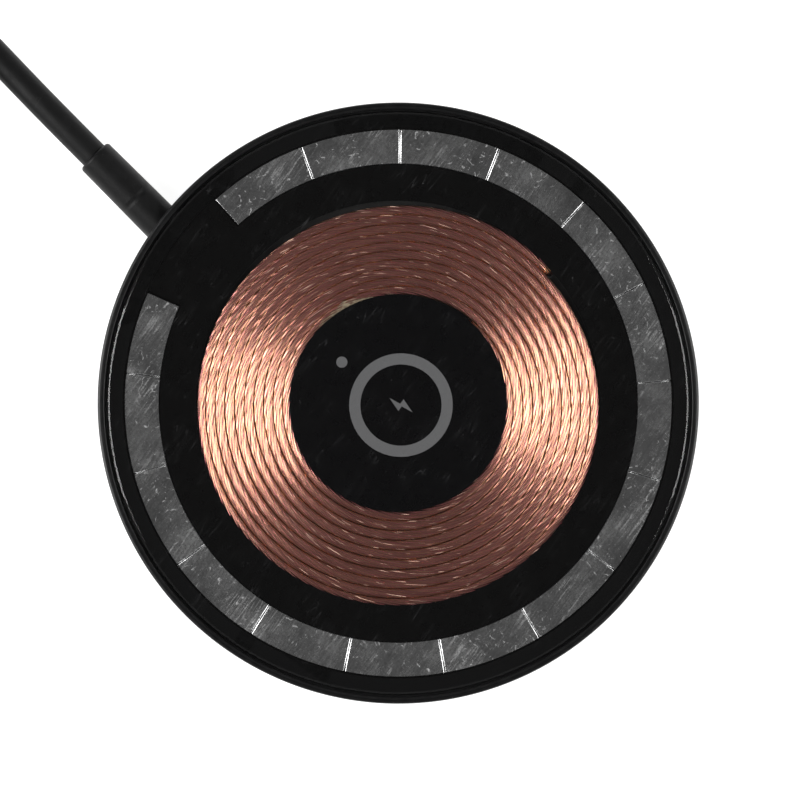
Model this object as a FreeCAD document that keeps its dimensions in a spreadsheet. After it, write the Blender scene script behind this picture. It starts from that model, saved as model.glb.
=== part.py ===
import FreeCAD, Part
import math
import os

import Sketcher
from FreeCAD import Placement, Rotation, Vector

# A round magnetic charging pad with a clear front window, a hard-wired lead and a plug.
#
# The origin is the pad's centre, on the surface that the pad lies on. +Z is up through the
# charging face, and +Y is the side where the lead comes out, between the ends of the magnet ring.
# Lengths are millimetres and angles are degrees. Heights are measured from the resting surface.

DIMENSIONS = {
    # case: a shallow cup with a ledge for the window near its lip
    "case_radius": 29.6,
    "case_bottom": 0.3,
    "lip_height": 5.85,
    "lip_inner_radius": 28.95,
    "lip_rounding": 0.28,
    "bottom_rounding": 1.0,
    "ledge_height": 5.05,
    "wall_inner_radius": 28.4,
    "shelf_height": 2.95,
    "cavity_radius": 27.2,
    "floor_height": 1.1,
    "post_radius": 1.25,
    "post_circle": 23.3,
    "post_count": 4,
    # foot: a silicone ring stuck into a shallow groove in the underside
    "foot_inner_radius": 19.0,
    "foot_outer_radius": 26.0,
    "foot_groove_margin": 0.1,
    "foot_groove_top": 0.65,
    "foot_top": 0.55,
    # window and the ring of black adhesive that holds it
    "window_radius": 28.87,
    "window_bottom": 5.2,
    "window_top": 6.0,
    "window_bevel": 0.46,
    "adhesive_inner_radius": 27.15,
    "adhesive_outer_radius": 28.75,
    # carrier: the black ring that holds the magnets round the winding
    "pocket_radius": 20.3,
    "pocket_lip_radius": 19.93,
    "pocket_lip_bottom": 4.92,
    "carrier_radius": 28.3,
    "carrier_bottom": 2.98,
    "channel_inner_radius": 23.5,
    "channel_outer_radius": 27.05,
    "channel_bottom": 3.45,
    "channel_arc": 336.6,
    # magnets and the steel strip under them
    "magnet_inner_radius": 23.6,
    "magnet_outer_radius": 26.95,
    "magnet_bottom": 3.77,
    "magnet_top": 4.95,
    "magnet_chamfer": 0.13,
    "magnet_first_start": 102.1,
    "magnet_first_sweep": 17.65,
    "magnet_pitch": 21.22,
    "magnet_joint": 0.1,
    "backing_top": 3.75,
    "backing_start": 102.2,
    "backing_sweep": 335.7,
    # winding: stranded copper wire in a flat spiral of half circles
    "wire_radius": 0.455,
    "wire_height": 4.41,
    "coil_pitch": 0.941,
    "coil_outer_radius": 19.82,
    "coil_end_angle": -9.0,
    "coil_offset_x": -0.2,
    "coil_offset_y": -0.36,
    "coil_half_turns": 20,
    "lead_bend": 0.75,
    "lead_bottom": 2.12,
    # flat stack under the winding
    "stack_radius": 19.95,
    "glue_film_bottom": 3.86,
    "glue_film_top": 3.95,
    "ferrite_bottom": 3.2,
    "shield_bottom": 3.0,
    "insulator_bottom": 2.92,
    "lead_hole_radius": 0.8,
    # centre of the winding
    "spacer_radius": 9.1,
    "disc_radius": 10.72,
    "disc_bottom": 4.9,
    "disc_top": 5.02,
    "print_top": 5.05,
    "mark_offset_y": -0.33,
    "mark_ring_inner": 4.0,
    "mark_ring_outer": 5.1,
    "bolt_half_height": 1.35,
    "bolt_half_width": 0.62,
    "dot_radius": 0.55,
    "dot_distance": 7.2,
    # circuit board, with its parts on the underside
    "board_radius": 25.0,
    "board_bottom": 2.3,
    "board_top": 2.9,
    "notch_half_width": 3.4,
    "notch_inner_y": 20.3,
    # cable outlet and strain relief
    "exit_angle": 88.7,
    "relief_angle": 80.9,
    "exit_height": 2.85,
    "outlet_radius": 1.6,
    "neck_radius": 1.55,
    "flange_radius": 1.85,
    "flange_room": 1.93,
    "flange_outer": -1.78,
    "flange_inner": -2.55,
    "flange_room_inner": -3.6,
    "relief_root_radius": 1.96,
    "relief_tip_radius": 1.87,
    "relief_length": 9.2,
    "relief_rounding": 0.35,
    # lead
    "cord_radius": 1.425,
    "tail_inner": -5.5,
    "cord_spacing": 2.9,
    "coil_mean_radius": 16.7,
    "tie_thickness": 0.4,
    "tie_width": 3.2,
    "tie_gap": 0.15,
    # plug
    "plug_relief_length": 6.0,
    "plug_relief_radius": 1.95,
    "plug_length": 18.0,
    "plug_width": 10.6,
    "plug_height": 6.0,
    "plug_rounding": 1.4,
    "shell_length": 6.65,
    "shell_width": 8.25,
    "shell_height": 2.4,
    "shell_wall": 0.3,
    "slot_width": 6.7,
    "slot_height": 0.9,
    "slot_depth": 5.4,
    "contact_pitch": 0.5,
    "contact_count": 12,
}

UP = Vector(0, 0, 1)
STUB_LENGTH = 11.6


class Size:
    """A number that remembers the spreadsheet expression that it comes from."""

    def __init__(self, value, text):
        self.value = value
        self.text = text

    def joined(self, other, sign, value):
        return Size(value, f"({self.text} {sign} {other.text})")

    def __add__(self, other):
        other = as_size(other)
        return self.joined(other, "+", self.value + other.value)

    def __sub__(self, other):
        other = as_size(other)
        return self.joined(other, "-", self.value - other.value)

    def __mul__(self, other):
        other = as_size(other)
        return self.joined(other, "*", self.value * other.value)

    def __truediv__(self, other):
        other = as_size(other)
        return self.joined(other, "/", self.value / other.value)

    def __radd__(self, other):
        return as_size(other) + self

    def __rsub__(self, other):
        return as_size(other) - self

    def __rmul__(self, other):
        return as_size(other) * self

    def __neg__(self):
        return as_size(0) - self


def as_size(number):
    return number if isinstance(number, Size) else Size(float(number), f"({float(number)!r})")


def cosine(angle):
    return Size(math.cos(math.radians(angle.value)), f"cos({angle.text} * 1 deg)")


def sine(angle):
    return Size(math.sin(math.radians(angle.value)), f"sin({angle.text} * 1 deg)")


def make_sheet():
    """Writes the driving dimensions, each with its name beside it as the alias of its cell."""
    sheet = doc.addObject("Spreadsheet::Sheet", "dims")
    for row, (name, value) in enumerate(DIMENSIONS.items(), start=1):
        sheet.set(f"A{row}", name)
        sheet.set(f"B{row}", str(value))
        sheet.setAlias(f"B{row}", name)
    doc.recompute()


def read_sizes():
    """The sheet's cells by name, as they stand in the document."""
    return {name: Size(float(doc.dims.get(name)), f"dims.{name}") for name in DIMENSIONS}


def bind(thing, prop, size):
    thing.setExpression(prop, as_size(size).text)


def put(thing, x, y, z):
    """Binds where a thing stands, without turning it."""
    for axis, size in zip("xyz", (x, y, z)):
        bind(thing, f"Placement.Base.{axis}", size)


def finished(thing, name):
    """Names a sub-part after its file and keeps it for the export."""
    thing.Label = name
    sub_parts.append(thing)
    return thing


# Builders


def new_sketch(body, role, name):
    """A sketch on one of the body's own origin planes."""
    plane = next(f for f in body.Origin.OriginFeatures if f.Role == role)
    sketch = body.newObject("Sketcher::SketchObject", name)
    sketch.AttachmentSupport = [(plane, "")]
    sketch.MapMode = "FlatFace"
    return sketch


def closed_outline(sketch, corners):
    """Straight sides through the corners, each corner held by two bound distances."""
    first = sketch.GeometryCount
    corners = [(as_size(x), as_size(y)) for x, y in corners]
    count = len(corners)
    for i in range(count):
        start, end = corners[i], corners[(i + 1) % count]
        side = Part.LineSegment(
            Vector(start[0].value, start[1].value, 0), Vector(end[0].value, end[1].value, 0)
        )
        sketch.addGeometry(side)
    for i in range(count):
        here, there = first + i, first + (i + 1) % count
        sketch.addConstraint(Sketcher.Constraint("Coincident", here, 2, there, 1))
    for i, corner in enumerate(corners):
        for kind, size in zip(("DistanceX", "DistanceY"), corner):
            number = sketch.addConstraint(
                Sketcher.Constraint(kind, -1, 1, first + i, 1, size.value)
            )
            name = f"{kind}{first + i}"
            sketch.renameConstraint(number, name)
            bind(sketch, f"Constraints.{name}", size)


def turned(name, outline):
    """A body turned about Z from an outline of (radius, height) corners."""
    body = doc.addObject("PartDesign::Body", name)
    sketch = new_sketch(body, "XZ_Plane", f"{name}_outline")
    closed_outline(sketch, outline)
    turn = body.newObject("PartDesign::Revolution", f"{name}_turn")
    turn.Profile = sketch
    turn.ReferenceAxis = (sketch, ["V_Axis"])
    turn.Angle = 360
    doc.recompute()
    return body


def ring_outline(inner, outer, low, high):
    return [(inner, low), (outer, low), (outer, high), (inner, high)]


def rims(shape, radius, height):
    """The names of a shape's round edges with that radius, at that height."""
    names = []
    for number, edge in enumerate(shape.Edges, start=1):
        curve = edge.Curve
        if not isinstance(curve, Part.Circle):
            continue
        same_radius = abs(curve.Radius - radius.value) < 1e-4
        if same_radius and abs(curve.Center.z - height.value) < 1e-4:
            names.append(f"Edge{number}")
    return names


def round_rim(body, name, radius, height, rounding):
    """Rounds one round edge of a body."""
    base = body.Tip
    edges = rims(body.Shape, radius, height)
    fillet = body.newObject("PartDesign::Fillet", name)
    fillet.Base = (base, edges)
    bind(fillet, "Radius", rounding)
    body.Tip = fillet
    doc.recompute()


def cylinder(name, radius, low, high, x=0, y=0):
    """An upright round bar."""
    bar = doc.addObject("Part::Cylinder", name)
    bind(bar, "Radius", radius)
    bind(bar, "Height", high - low)
    put(bar, x, y, low)
    return bar


def block(name, centre, size, low):
    """A box by the middle of its base, its (length, width, height) and the base's height."""
    box = doc.addObject("Part::Box", name)
    for prop, side in zip(("Length", "Width", "Height"), size):
        bind(box, prop, side)
    put(box, centre[0] - size[0] / 2, centre[1] - size[1] / 2, low)
    return box


def cut(name, base, tool):
    result = doc.addObject("Part::Cut", name)
    result.Base = base
    result.Tool = tool
    return result


def fuse(name, shapes):
    result = doc.addObject("Part::MultiFuse", name)
    result.Shapes = shapes
    return result


def group(name, members):
    """Separate solids that share one node."""
    result = doc.addObject("Part::Compound", name)
    result.Links = members
    return result


def arc_bar(name, inner, outer, low, high, start, sweep):
    """A flat bar bent round Z, from the angle start over sweep degrees."""
    wedge = cylinder(f"{name}_wedge", outer, low, high)
    bind(wedge, "Angle", sweep)
    core = cylinder(f"{name}_core", inner, low - 1, high + 1)
    bar = cut(f"{name}_bar", wedge, core)
    bar.Placement = Placement(Vector(), Rotation(UP, 1))
    bind(bar, "Placement.Rotation.Angle", start)
    return bar


def edge_numbers(shape, test):
    return [number for number, edge in enumerate(shape.Edges, start=1) if test(edge)]


def blended(kind, name, base, size, test):
    """A Part::Fillet or Part::Chamfer of one size, on the edges that pass the test."""
    doc.recompute()
    result = doc.addObject(kind, name)
    result.Base = base
    result.Edges = [(n, size.value, size.value) for n in edge_numbers(base.Shape, test)]
    return result


def rounded_path(points, share=0.45):
    """Straight runs with a tangent arc at each inner point, and the arcs' radii.

    An arc starts at that share of the shorter of its two runs from the point."""
    edges, radii = [], []
    start = points[0]
    for before, point, after in zip(points, points[1:], points[2:]):
        back, ahead = (before - point).normalize(), (after - point).normalize()
        reach = share * min((before - point).Length, (after - point).Length)
        half_turn = (math.pi - back.getAngle(ahead)) / 2
        radius = reach / math.tan(half_turn)
        first, last = point + back * reach, point + ahead * reach
        centre = point + (back + ahead).normalize() * (radius / math.cos(half_turn))
        middle = centre + (point - centre).normalize() * radius
        edges += [Part.LineSegment(start, first), Part.Arc(first, middle, last)]
        radii.append(radius)
        start = last
    edges.append(Part.LineSegment(start, points[-1]))
    return [edge.toShape() for edge in edges], radii


def swept(edges, radius):
    """A round bar along edges that meet smoothly."""
    path = Part.Wire(edges)
    start = path.Edges[0]
    direction = start.tangentAt(start.FirstParameter)
    circle = Part.Wire(Part.makeCircle(radius, start.valueAt(start.FirstParameter), direction))
    return path.makePipeShell([circle], True, False)


def feature(name, shape):
    result = doc.addObject("Part::Feature", name)
    result.Shape = shape
    return result


# The way out for the lead. "along" counts outwards from the case's outer face.


def exit_point(along):
    """A point on the strain relief's axis, as three bound sizes."""
    root_x = d["case_radius"] * cosine(d["exit_angle"])
    root_y = d["case_radius"] * sine(d["exit_angle"])
    return (
        root_x + along * cosine(d["relief_angle"]),
        root_y + along * sine(d["relief_angle"]),
        d["exit_height"],
    )


def exit_vector(along):
    return Vector(*(size.value for size in exit_point(as_size(along))))


def exit_direction():
    return Vector(cosine(d["relief_angle"]).value, sine(d["relief_angle"]).value, 0)


def lay_on_exit(thing, along):
    """Turns a thing built on Z onto the strain relief's axis."""
    thing.Placement = Placement(Vector(), Rotation(UP, exit_direction()))
    put(thing, *exit_point(as_size(along)))
    return thing


def exit_bar(name, radius, inner, outer):
    bar = doc.addObject("Part::Cylinder", name)
    bind(bar, "Radius", radius)
    bind(bar, "Height", as_size(outer) - inner)
    return lay_on_exit(bar, inner)


# Case, foot and window


def make_case():
    """The cup: lip, ledge for the window, shelf for the carrier, posts for the board."""
    groove_inner = d["foot_inner_radius"] - d["foot_groove_margin"]
    groove_outer = d["foot_outer_radius"] + d["foot_groove_margin"]
    cup = turned(
        "cup",
        [
            (0, d["case_bottom"]),
            (groove_inner, d["case_bottom"]),
            (groove_inner, d["foot_groove_top"]),
            (groove_outer, d["foot_groove_top"]),
            (groove_outer, d["case_bottom"]),
            (d["case_radius"], d["case_bottom"]),
            (d["case_radius"], d["lip_height"]),
            (d["lip_inner_radius"], d["lip_height"]),
            (d["lip_inner_radius"], d["ledge_height"]),
            (d["wall_inner_radius"], d["ledge_height"]),
            (d["wall_inner_radius"], d["shelf_height"]),
            (d["cavity_radius"], d["shelf_height"]),
            (d["cavity_radius"], d["floor_height"]),
            (0, d["floor_height"]),
        ],
    )
    round_rim(cup, "lip_round", d["case_radius"], d["lip_height"], d["lip_rounding"])
    round_rim(cup, "base_round", d["case_radius"], d["case_bottom"], d["bottom_rounding"])
    posts = []
    for number in range(int(d["post_count"].value)):
        angle = as_size(45 + number * 360 / d["post_count"].value)
        across = d["post_circle"] * cosine(angle)
        away = d["post_circle"] * sine(angle)
        post = cylinder(
            f"post_{number}", d["post_radius"], d["floor_height"] - 0.1, d["board_bottom"],
            across, away,
        )
        posts.append(post)
    solid = fuse("cup_with_posts", [cup, *posts])
    outlet = exit_bar("outlet_hole", d["outlet_radius"], d["flange_room_inner"], as_size(3))
    room = exit_bar(
        "flange_room", d["flange_room"], d["flange_room_inner"], d["flange_outer"] + 0.05
    )
    finished(cut("case", solid, fuse("outlet", [outlet, room])), "lower_case")


def make_foot():
    ring = ring_outline(d["foot_inner_radius"], d["foot_outer_radius"], as_size(0), d["foot_top"])
    foot = turned("foot", ring)
    for radius in (d["foot_inner_radius"], d["foot_outer_radius"]):
        round_rim(foot, "foot_edge", radius, as_size(0), as_size(0.12))
    finished(foot, "anti_slip_foot")
    film = ring_outline(
        d["foot_inner_radius"] + 0.2,
        d["foot_outer_radius"] - 0.2,
        d["foot_top"],
        d["foot_groove_top"],
    )
    finished(turned("foot_film", film), "foot_adhesive_ring")


def make_window():
    """The clear disc with its bevelled rim, and the adhesive that holds it on the ledge."""
    window = turned(
        "clear_disc",
        [
            (0, d["window_bottom"]),
            (d["window_radius"], d["window_bottom"]),
            (d["window_radius"], d["window_top"] - d["window_bevel"]),
            (d["window_radius"] - d["window_bevel"], d["window_top"]),
            (0, d["window_top"]),
        ],
    )
    finished(window, "clear_window")
    film = ring_outline(
        d["adhesive_inner_radius"],
        d["adhesive_outer_radius"],
        d["ledge_height"],
        d["window_bottom"],
    )
    finished(turned("window_film", film), "window_adhesive_ring")


# Magnet ring


def make_carrier():
    """The black ring round the winding, whose thin lip just covers the winding's outer turn.

    An open-topped channel in it holds the magnets."""
    ring = turned(
        "carrier_ring",
        [
            (d["pocket_radius"], d["carrier_bottom"]),
            (d["carrier_radius"], d["carrier_bottom"]),
            (d["carrier_radius"], d["ledge_height"]),
            (d["pocket_lip_radius"], d["ledge_height"]),
            (d["pocket_lip_radius"], d["pocket_lip_bottom"]),
            (d["pocket_radius"], d["pocket_lip_bottom"]),
        ],
    )
    channel = arc_bar(
        "channel",
        d["channel_inner_radius"],
        d["channel_outer_radius"],
        d["channel_bottom"],
        d["ledge_height"] + 1,
        90 + (360 - d["channel_arc"]) / 2,
        d["channel_arc"],
    )
    tunnel = exit_bar("tunnel", d["outlet_radius"], -as_size(12), as_size(0))
    room = exit_bar("carrier_flange_room", d["flange_room"], d["flange_room_inner"], as_size(0))
    open_ring = cut("carrier", ring, fuse("carrier_hollows", [channel, tunnel, room]))
    finished(open_ring, "magnet_carrier")


def on_top(edge):
    heights = [vertex.Z for vertex in edge.Vertexes]
    return all(abs(height - d["magnet_top"].value) < 1e-4 for height in heights)


def make_magnets():
    """One short magnet beside the cable gap, then equal ones round to the gap's other side."""
    start = d["magnet_first_start"]
    sweep = d["magnet_first_sweep"]
    for number in range(1, 17):
        bar = arc_bar(
            f"magnet_{number}",
            d["magnet_inner_radius"],
            d["magnet_outer_radius"],
            d["magnet_bottom"],
            d["magnet_top"],
            start + d["magnet_joint"] / 2,
            sweep - d["magnet_joint"],
        )
        piece = blended(
            "Part::Chamfer", f"magnet_{number}_edges", bar, d["magnet_chamfer"], on_top
        )
        finished(piece, f"magnet_{number:02d}")
        start = start + sweep
        sweep = d["magnet_pitch"]


def make_backing():
    """The steel strip that closes the magnets' field on their underside."""
    strip = arc_bar(
        "backing",
        d["magnet_inner_radius"],
        d["magnet_outer_radius"],
        d["channel_bottom"] + 0.02,
        d["backing_top"],
        d["backing_start"],
        d["backing_sweep"],
    )
    finished(strip, "steel_backing_strip")


# Winding


def coil_centre():
    return Vector(
        d["coil_offset_x"].value, d["coil_offset_y"].value, d["wire_height"].value
    )


def half_circle(centre, radius, angle, plane_x, plane_y):
    """Half a circle from an angle, in the plane of two unit vectors."""
    points = []
    for quarter in range(3):
        turn = math.radians(angle + 90 * quarter)
        points.append(centre + (plane_x * math.cos(turn) + plane_y * math.sin(turn)) * radius)
    return Part.Arc(*points).toShape()


def dive(point, heading, bend, bottom):
    """Edges that turn down from a heading with a quarter bend, then run straight down."""
    down = Vector(0, 0, -1)
    centre = point + down * bend
    slant = math.sqrt(0.5)
    middle = centre + (heading - down) * (bend * slant)
    end = centre + heading * bend
    quarter = Part.Arc(point, middle, end).toShape()
    return [quarter, Part.LineSegment(end, Vector(end.x, end.y, bottom)).toShape()]


def coil_geometry():
    """The flat spiral's edges, and where its two leads go down to the board.

    Half circles of shrinking radius take turns about two centres half a step each side of
    the winding's own centre, so each full turn comes in by one pitch."""
    step = d["coil_pitch"].value / 2
    angle = math.radians(d["coil_end_angle"].value)
    outward = Vector(math.cos(angle), math.sin(angle), 0)
    across = Vector(-outward.y, outward.x, 0)
    centre = coil_centre()
    radius = d["coil_outer_radius"].value - step / 2
    shift = outward * (step / 2)
    spiral = []
    for _ in range(int(d["coil_half_turns"].value)):
        side = 0 if shift.dot(outward) > 0 else 180
        spiral.append(half_circle(centre + shift, radius, side, outward, across))
        radius -= step
        shift = -shift
    outer_end = centre + outward * d["coil_outer_radius"].value
    inner_end = centre + shift + outward * radius
    return spiral, (outer_end, -across), (inner_end, across)


def lead_foot(end):
    point, heading = end
    return point + heading * d["lead_bend"].value


def make_winding():
    spiral, outer_end, inner_end = coil_geometry()
    bend, bottom = d["lead_bend"].value, d["lead_bottom"].value
    outer_lead = dive(*outer_end, bend, bottom)
    inner_lead = dive(*inner_end, bend, bottom)
    wire = d["wire_radius"].value
    main = swept(spiral, wire)
    legs = [swept(lead, wire) for lead in (outer_lead, inner_lead)]
    length = sum(edge.Length for edge in spiral)
    report_volume("winding", main, math.pi * wire**2 * length)
    finished(feature("winding", main.fuse(legs).removeSplitter()), "charging_coil")


def with_lead_holes(name, body):
    """A flat piece with the two round holes that the winding's leads go through."""
    _, outer_end, inner_end = coil_geometry()
    holes = []
    for number, end in enumerate((outer_end, inner_end)):
        foot = lead_foot(end)
        hole = cylinder(
            f"{name}_hole_{number}",
            d["lead_hole_radius"],
            d["board_bottom"] - 1,
            d["wire_height"],
            foot.x,
            foot.y,
        )
        holes.append(hole)
    return cut(f"{name}_with_holes", body, fuse(f"{name}_holes", holes))


def make_stack():
    """Glue film, ferrite, shield and insulator, flat under the winding."""
    layers = [
        ("coil_adhesive_film", d["glue_film_bottom"], d["glue_film_top"]),
        ("ferrite_disc", d["ferrite_bottom"], d["glue_film_bottom"]),
        ("aluminium_shield", d["shield_bottom"], d["ferrite_bottom"]),
        ("insulating_film", d["insulator_bottom"], d["shield_bottom"]),
    ]
    for name, low, high in layers:
        disc = cylinder(f"{name}_disc", d["stack_radius"], low, high)
        finished(with_lead_holes(name, disc), name)


# Centre disc and its printed mark


def make_centre():
    """A foam spacer in the winding's hole, and the black disc on top of it."""
    spacer = cylinder("spacer", d["spacer_radius"], d["glue_film_top"], d["disc_bottom"])
    finished(spacer, "centre_spacer")
    disc = cylinder("disc", d["disc_radius"], d["disc_bottom"], d["disc_top"])
    finished(disc, "centre_disc")


def flat_prism(name, corners, low, high):
    """A body padded up from an outline of (x, y) corners."""
    body = doc.addObject("PartDesign::Body", name)
    sketch = new_sketch(body, "XY_Plane", f"{name}_outline")
    closed_outline(sketch, corners)
    pad = body.newObject("PartDesign::Pad", f"{name}_pad")
    pad.Profile = sketch
    bind(pad, "Length", high - low)
    bind(body, "Placement.Base.z", low)
    return body


def make_print():
    """A plain charging sign: a ring, a bolt with two equal points, and an index dot."""
    low, high = d["disc_top"], d["print_top"]
    middle = d["mark_offset_y"]
    outer = cylinder("mark_outer", d["mark_ring_outer"], low, high, 0, middle)
    inner = cylinder("mark_inner", d["mark_ring_inner"], low - 1, high + 1, 0, middle)
    tall, wide = d["bolt_half_height"], d["bolt_half_width"]
    half = [(-wide * 0.15, tall), (-wide, -tall * 0.1), (-wide * 0.1, -tall * 0.1)]
    corners = half + [(-x, -y) for x, y in half]
    bolt = flat_prism("bolt", [(x, y + middle) for x, y in corners], low, high)
    dot = cylinder("dot", d["dot_radius"], low, high, 0, d["dot_distance"] + middle)
    finished(group("mark", [cut("mark_ring", outer, inner), bolt, dot]), "printed_mark")


# Circuit board and what is soldered to it


def make_board():
    disc = cylinder("board_disc", d["board_radius"], d["board_bottom"], d["board_top"])
    notch_length = d["board_radius"] - d["notch_inner_y"] + 1
    notch = block(
        "board_notch",
        (as_size(0), d["notch_inner_y"] + notch_length / 2),
        (d["notch_half_width"] * 2, notch_length, as_size(3)),
        d["board_bottom"] - 1,
    )
    finished(with_lead_holes("board", cut("board_body", disc, notch)), "circuit_board")


def hung_block(name, centre, length, width, height):
    """A part soldered to the board's underside."""
    size = tuple(as_size(side) for side in (length, width, height))
    return block(name, tuple(as_size(c) for c in centre), size, d["board_bottom"] - height)


def hung_group(name, centres, length, width, height):
    members = []
    for number, centre in enumerate(centres):
        members.append(hung_block(f"{name}_{number}", centre, length, width, height))
    finished(group(f"{name}_group", members), name)


def row_of(count, start, step):
    return [(start[0] + i * step[0], start[1] + i * step[1]) for i in range(count)]


def make_components():
    """The transmitter's parts, hung under the board and clear of the posts and pads."""
    finished(hung_block("controller", (0, -6), 5, 5, 0.85), "controller_chip")
    finished(hung_block("protocol", (3.5, 11), 3, 3, 0.75), "supply_protocol_chip")
    finished(hung_block("choke", (-6.5, 11), 4, 4, 1.05), "supply_inductor")
    finished(hung_block("quartz", (7.5, -6), 2.5, 2, 0.55), "clock_crystal")
    finished(hung_block("sensor", (12.5, 4), 1.6, 0.8, 0.6), "temperature_sensor")
    hung_group("power_bridge_chips", [(-5, 2), (5, 2)], 3.3, 3.3, 0.9)
    hung_group("resonant_capacitors", row_of(4, (14.5, -11), (0, 2.4)), 3.2, 1.6, 1.1)
    hung_group("bulk_capacitors", row_of(4, (-14, 0), (0, 2)), 2, 1.25, 1)
    small = row_of(8, (-7, -12.5), (2, 0)) + row_of(6, (-10, -6), (0, 1.4))
    hung_group("small_passives", small, 1, 0.5, 0.35)


def solder_joint(name, x, y, radius, height):
    """A low cone of solder under the board."""
    joint = doc.addObject("Part::Cone", name)
    bind(joint, "Radius1", radius * 0.45)
    bind(joint, "Radius2", radius)
    bind(joint, "Height", height)
    put(joint, x, y, d["board_bottom"] - height)
    return joint


def make_coil_joints():
    """Solder round the winding's two leads, where they come through the board."""
    _, outer_end, inner_end = coil_geometry()
    joints = []
    for number, end in enumerate((outer_end, inner_end)):
        foot = lead_foot(end)
        cone = solder_joint(f"coil_joint_{number}", foot.x, foot.y, 1.25, 0.55)
        lead = cylinder(
            f"coil_joint_lead_{number}",
            d["wire_radius"],
            d["lead_bottom"],
            d["board_bottom"] + 1,
            foot.x,
            foot.y,
        )
        joints.append(cut(f"coil_joint_ring_{number}", cone, lead))
    finished(group("coil_joint_group", joints), "coil_solder_joints")


def make_wires():
    """Four cores from the cable's inner end, bent under the board to their pads."""
    cores = [
        ("red_core", -0.62, 0.38, -2.4, 0.4),
        ("black_core", 0.62, 0.38, 2.4, 0.4),
        ("green_core", -0.45, -0.55, -0.75, 0.25),
        ("white_core", 0.45, -0.55, 0.75, 0.25),
    ]
    inward = -exit_direction()
    across = Vector(-inward.y, inward.x, 0)
    end = exit_vector(d["tail_inner"])
    pad_y = d["notch_inner_y"].value - 1.6
    joints = []
    for name, side, rise, pad_x, radius in cores:
        under = d["board_bottom"].value - radius - 0.06
        root = end + across * side + Vector(0, 0, rise)
        points = [
            root,
            root + inward * 0.9,
            Vector(pad_x, d["notch_inner_y"].value + 0.9, under),
            Vector(pad_x, pad_y, under),
        ]
        edges, _ = rounded_path(points)
        finished(feature(f"{name}_wire", swept(edges, radius)), name)
        joint = block(
            f"{name}_joint",
            (as_size(pad_x), as_size(pad_y - 0.45)),
            (as_size(1.1), as_size(0.9), as_size(0.7)),
            d["board_bottom"] - 0.7,
        )
        joints.append(joint)
    finished(group("core_joint_group", joints), "core_solder_joints")


# Strain relief and lead


def make_relief():
    """A tapered sleeve on the case, with a neck through the wall and a flange behind it."""
    tip = d["relief_length"]
    sleeve = doc.addObject("Part::Cone", "sleeve")
    bind(sleeve, "Radius1", d["relief_root_radius"])
    bind(sleeve, "Radius2", d["relief_tip_radius"])
    bind(sleeve, "Height", tip + 1)
    lay_on_exit(sleeve, -1)
    pad_shape = cylinder("pad_shape", d["case_radius"] + 0.02, as_size(-1), as_size(8))
    neck = exit_bar("neck", d["neck_radius"], d["flange_outer"], as_size(1))
    flange = exit_bar("flange", d["flange_radius"], d["flange_inner"], d["flange_outer"])
    solid = fuse("relief_solid", [cut("sleeve_outside", sleeve, pad_shape), neck, flange])
    bore = exit_bar("bore", d["cord_radius"] + 0.01, as_size(-4), tip + 1)
    hollow = cut("relief_hollow", solid, bore)
    tip_point = exit_vector(tip)

    def at_tip(edge):
        circle = edge.Curve
        if not isinstance(circle, Part.Circle):
            return False
        same_radius = abs(circle.Radius - d["relief_tip_radius"].value) < 1e-3
        return same_radius and circle.Center.distanceToPoint(tip_point) < 1e-3

    rounded = blended("Part::Fillet", "relief_round", hollow, d["relief_rounding"], at_tip)
    finished(rounded, "strain_relief")
    finished(exit_bar("tail", d["cord_radius"], d["tail_inner"], tip), "cable_tail")


def cord_route():
    """The lead from the strain relief's tip down to the side of the wound length."""
    return [
        exit_vector(d["relief_length"]),
        Vector(3.15, 45.09, 2.75),
        Vector(4.3, 51.48, 1.87),
        Vector(5.46, 57.83, 1.87),
    ]


def route_end():
    """Where the lead's last run points, level with the table."""
    route = cord_route()
    return route[-1], (route[-1] - route[-2]).normalize()


def wound_centre():
    """The middle of the wound length, which the lead joins at its outer turn."""
    end, heading = route_end()
    left = Vector(-heading.y, heading.x, 0)
    touch = end + heading * STUB_LENGTH
    outer_turn = d["coil_mean_radius"].value + 2 * d["cord_spacing"].value
    return Vector(touch.x, touch.y, 0) + left * outer_turn


def plug_lead():
    """The lead from the top layer's last turn to the plug, which points along -X.

    It leaves the turn at a tangent and bends left in equal steps, climbing to the plug's axis."""
    spacing = d["cord_spacing"].value
    last_turn = d["coil_mean_radius"].value + 1.5 * spacing
    level = d["tie_thickness"].value + 1.5 * spacing
    axis_height = level + spacing / 2 + d["plug_height"].value / 2 + 0.02
    run, bends = 8.6, 4
    first_heading, bend = 60, 30
    leave = math.radians(first_heading - 90)
    touch = wound_centre() + Vector(last_turn * math.cos(leave), last_turn * math.sin(leave), 0)
    ahead = Vector(math.cos(math.radians(first_heading)), math.sin(math.radians(first_heading)), 0)
    points = [touch - ahead * (run / 2) + Vector(0, 0, level)]
    for number in range(bends + 1):
        turn = math.radians(first_heading + bend * number)
        height = min(axis_height, level + (number + 1) * (axis_height - level) / bends)
        step = points[-1] + Vector(run * math.cos(turn), run * math.sin(turn), 0)
        points.append(Vector(step.x, step.y, height))
    return points


def make_cord():
    """The straight stretch of the lead, a plain tube."""
    edges, radii = rounded_path(cord_route())
    print("lead: arc radii", [round(radius, 1) for radius in radii])
    tube = swept(edges, d["cord_radius"].value)
    length = sum(edge.Length for edge in edges)
    report_volume("lead", tube, math.pi * d["cord_radius"].value ** 2 * length)
    finished(feature("cord_tube", tube), "cord_run")


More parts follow.
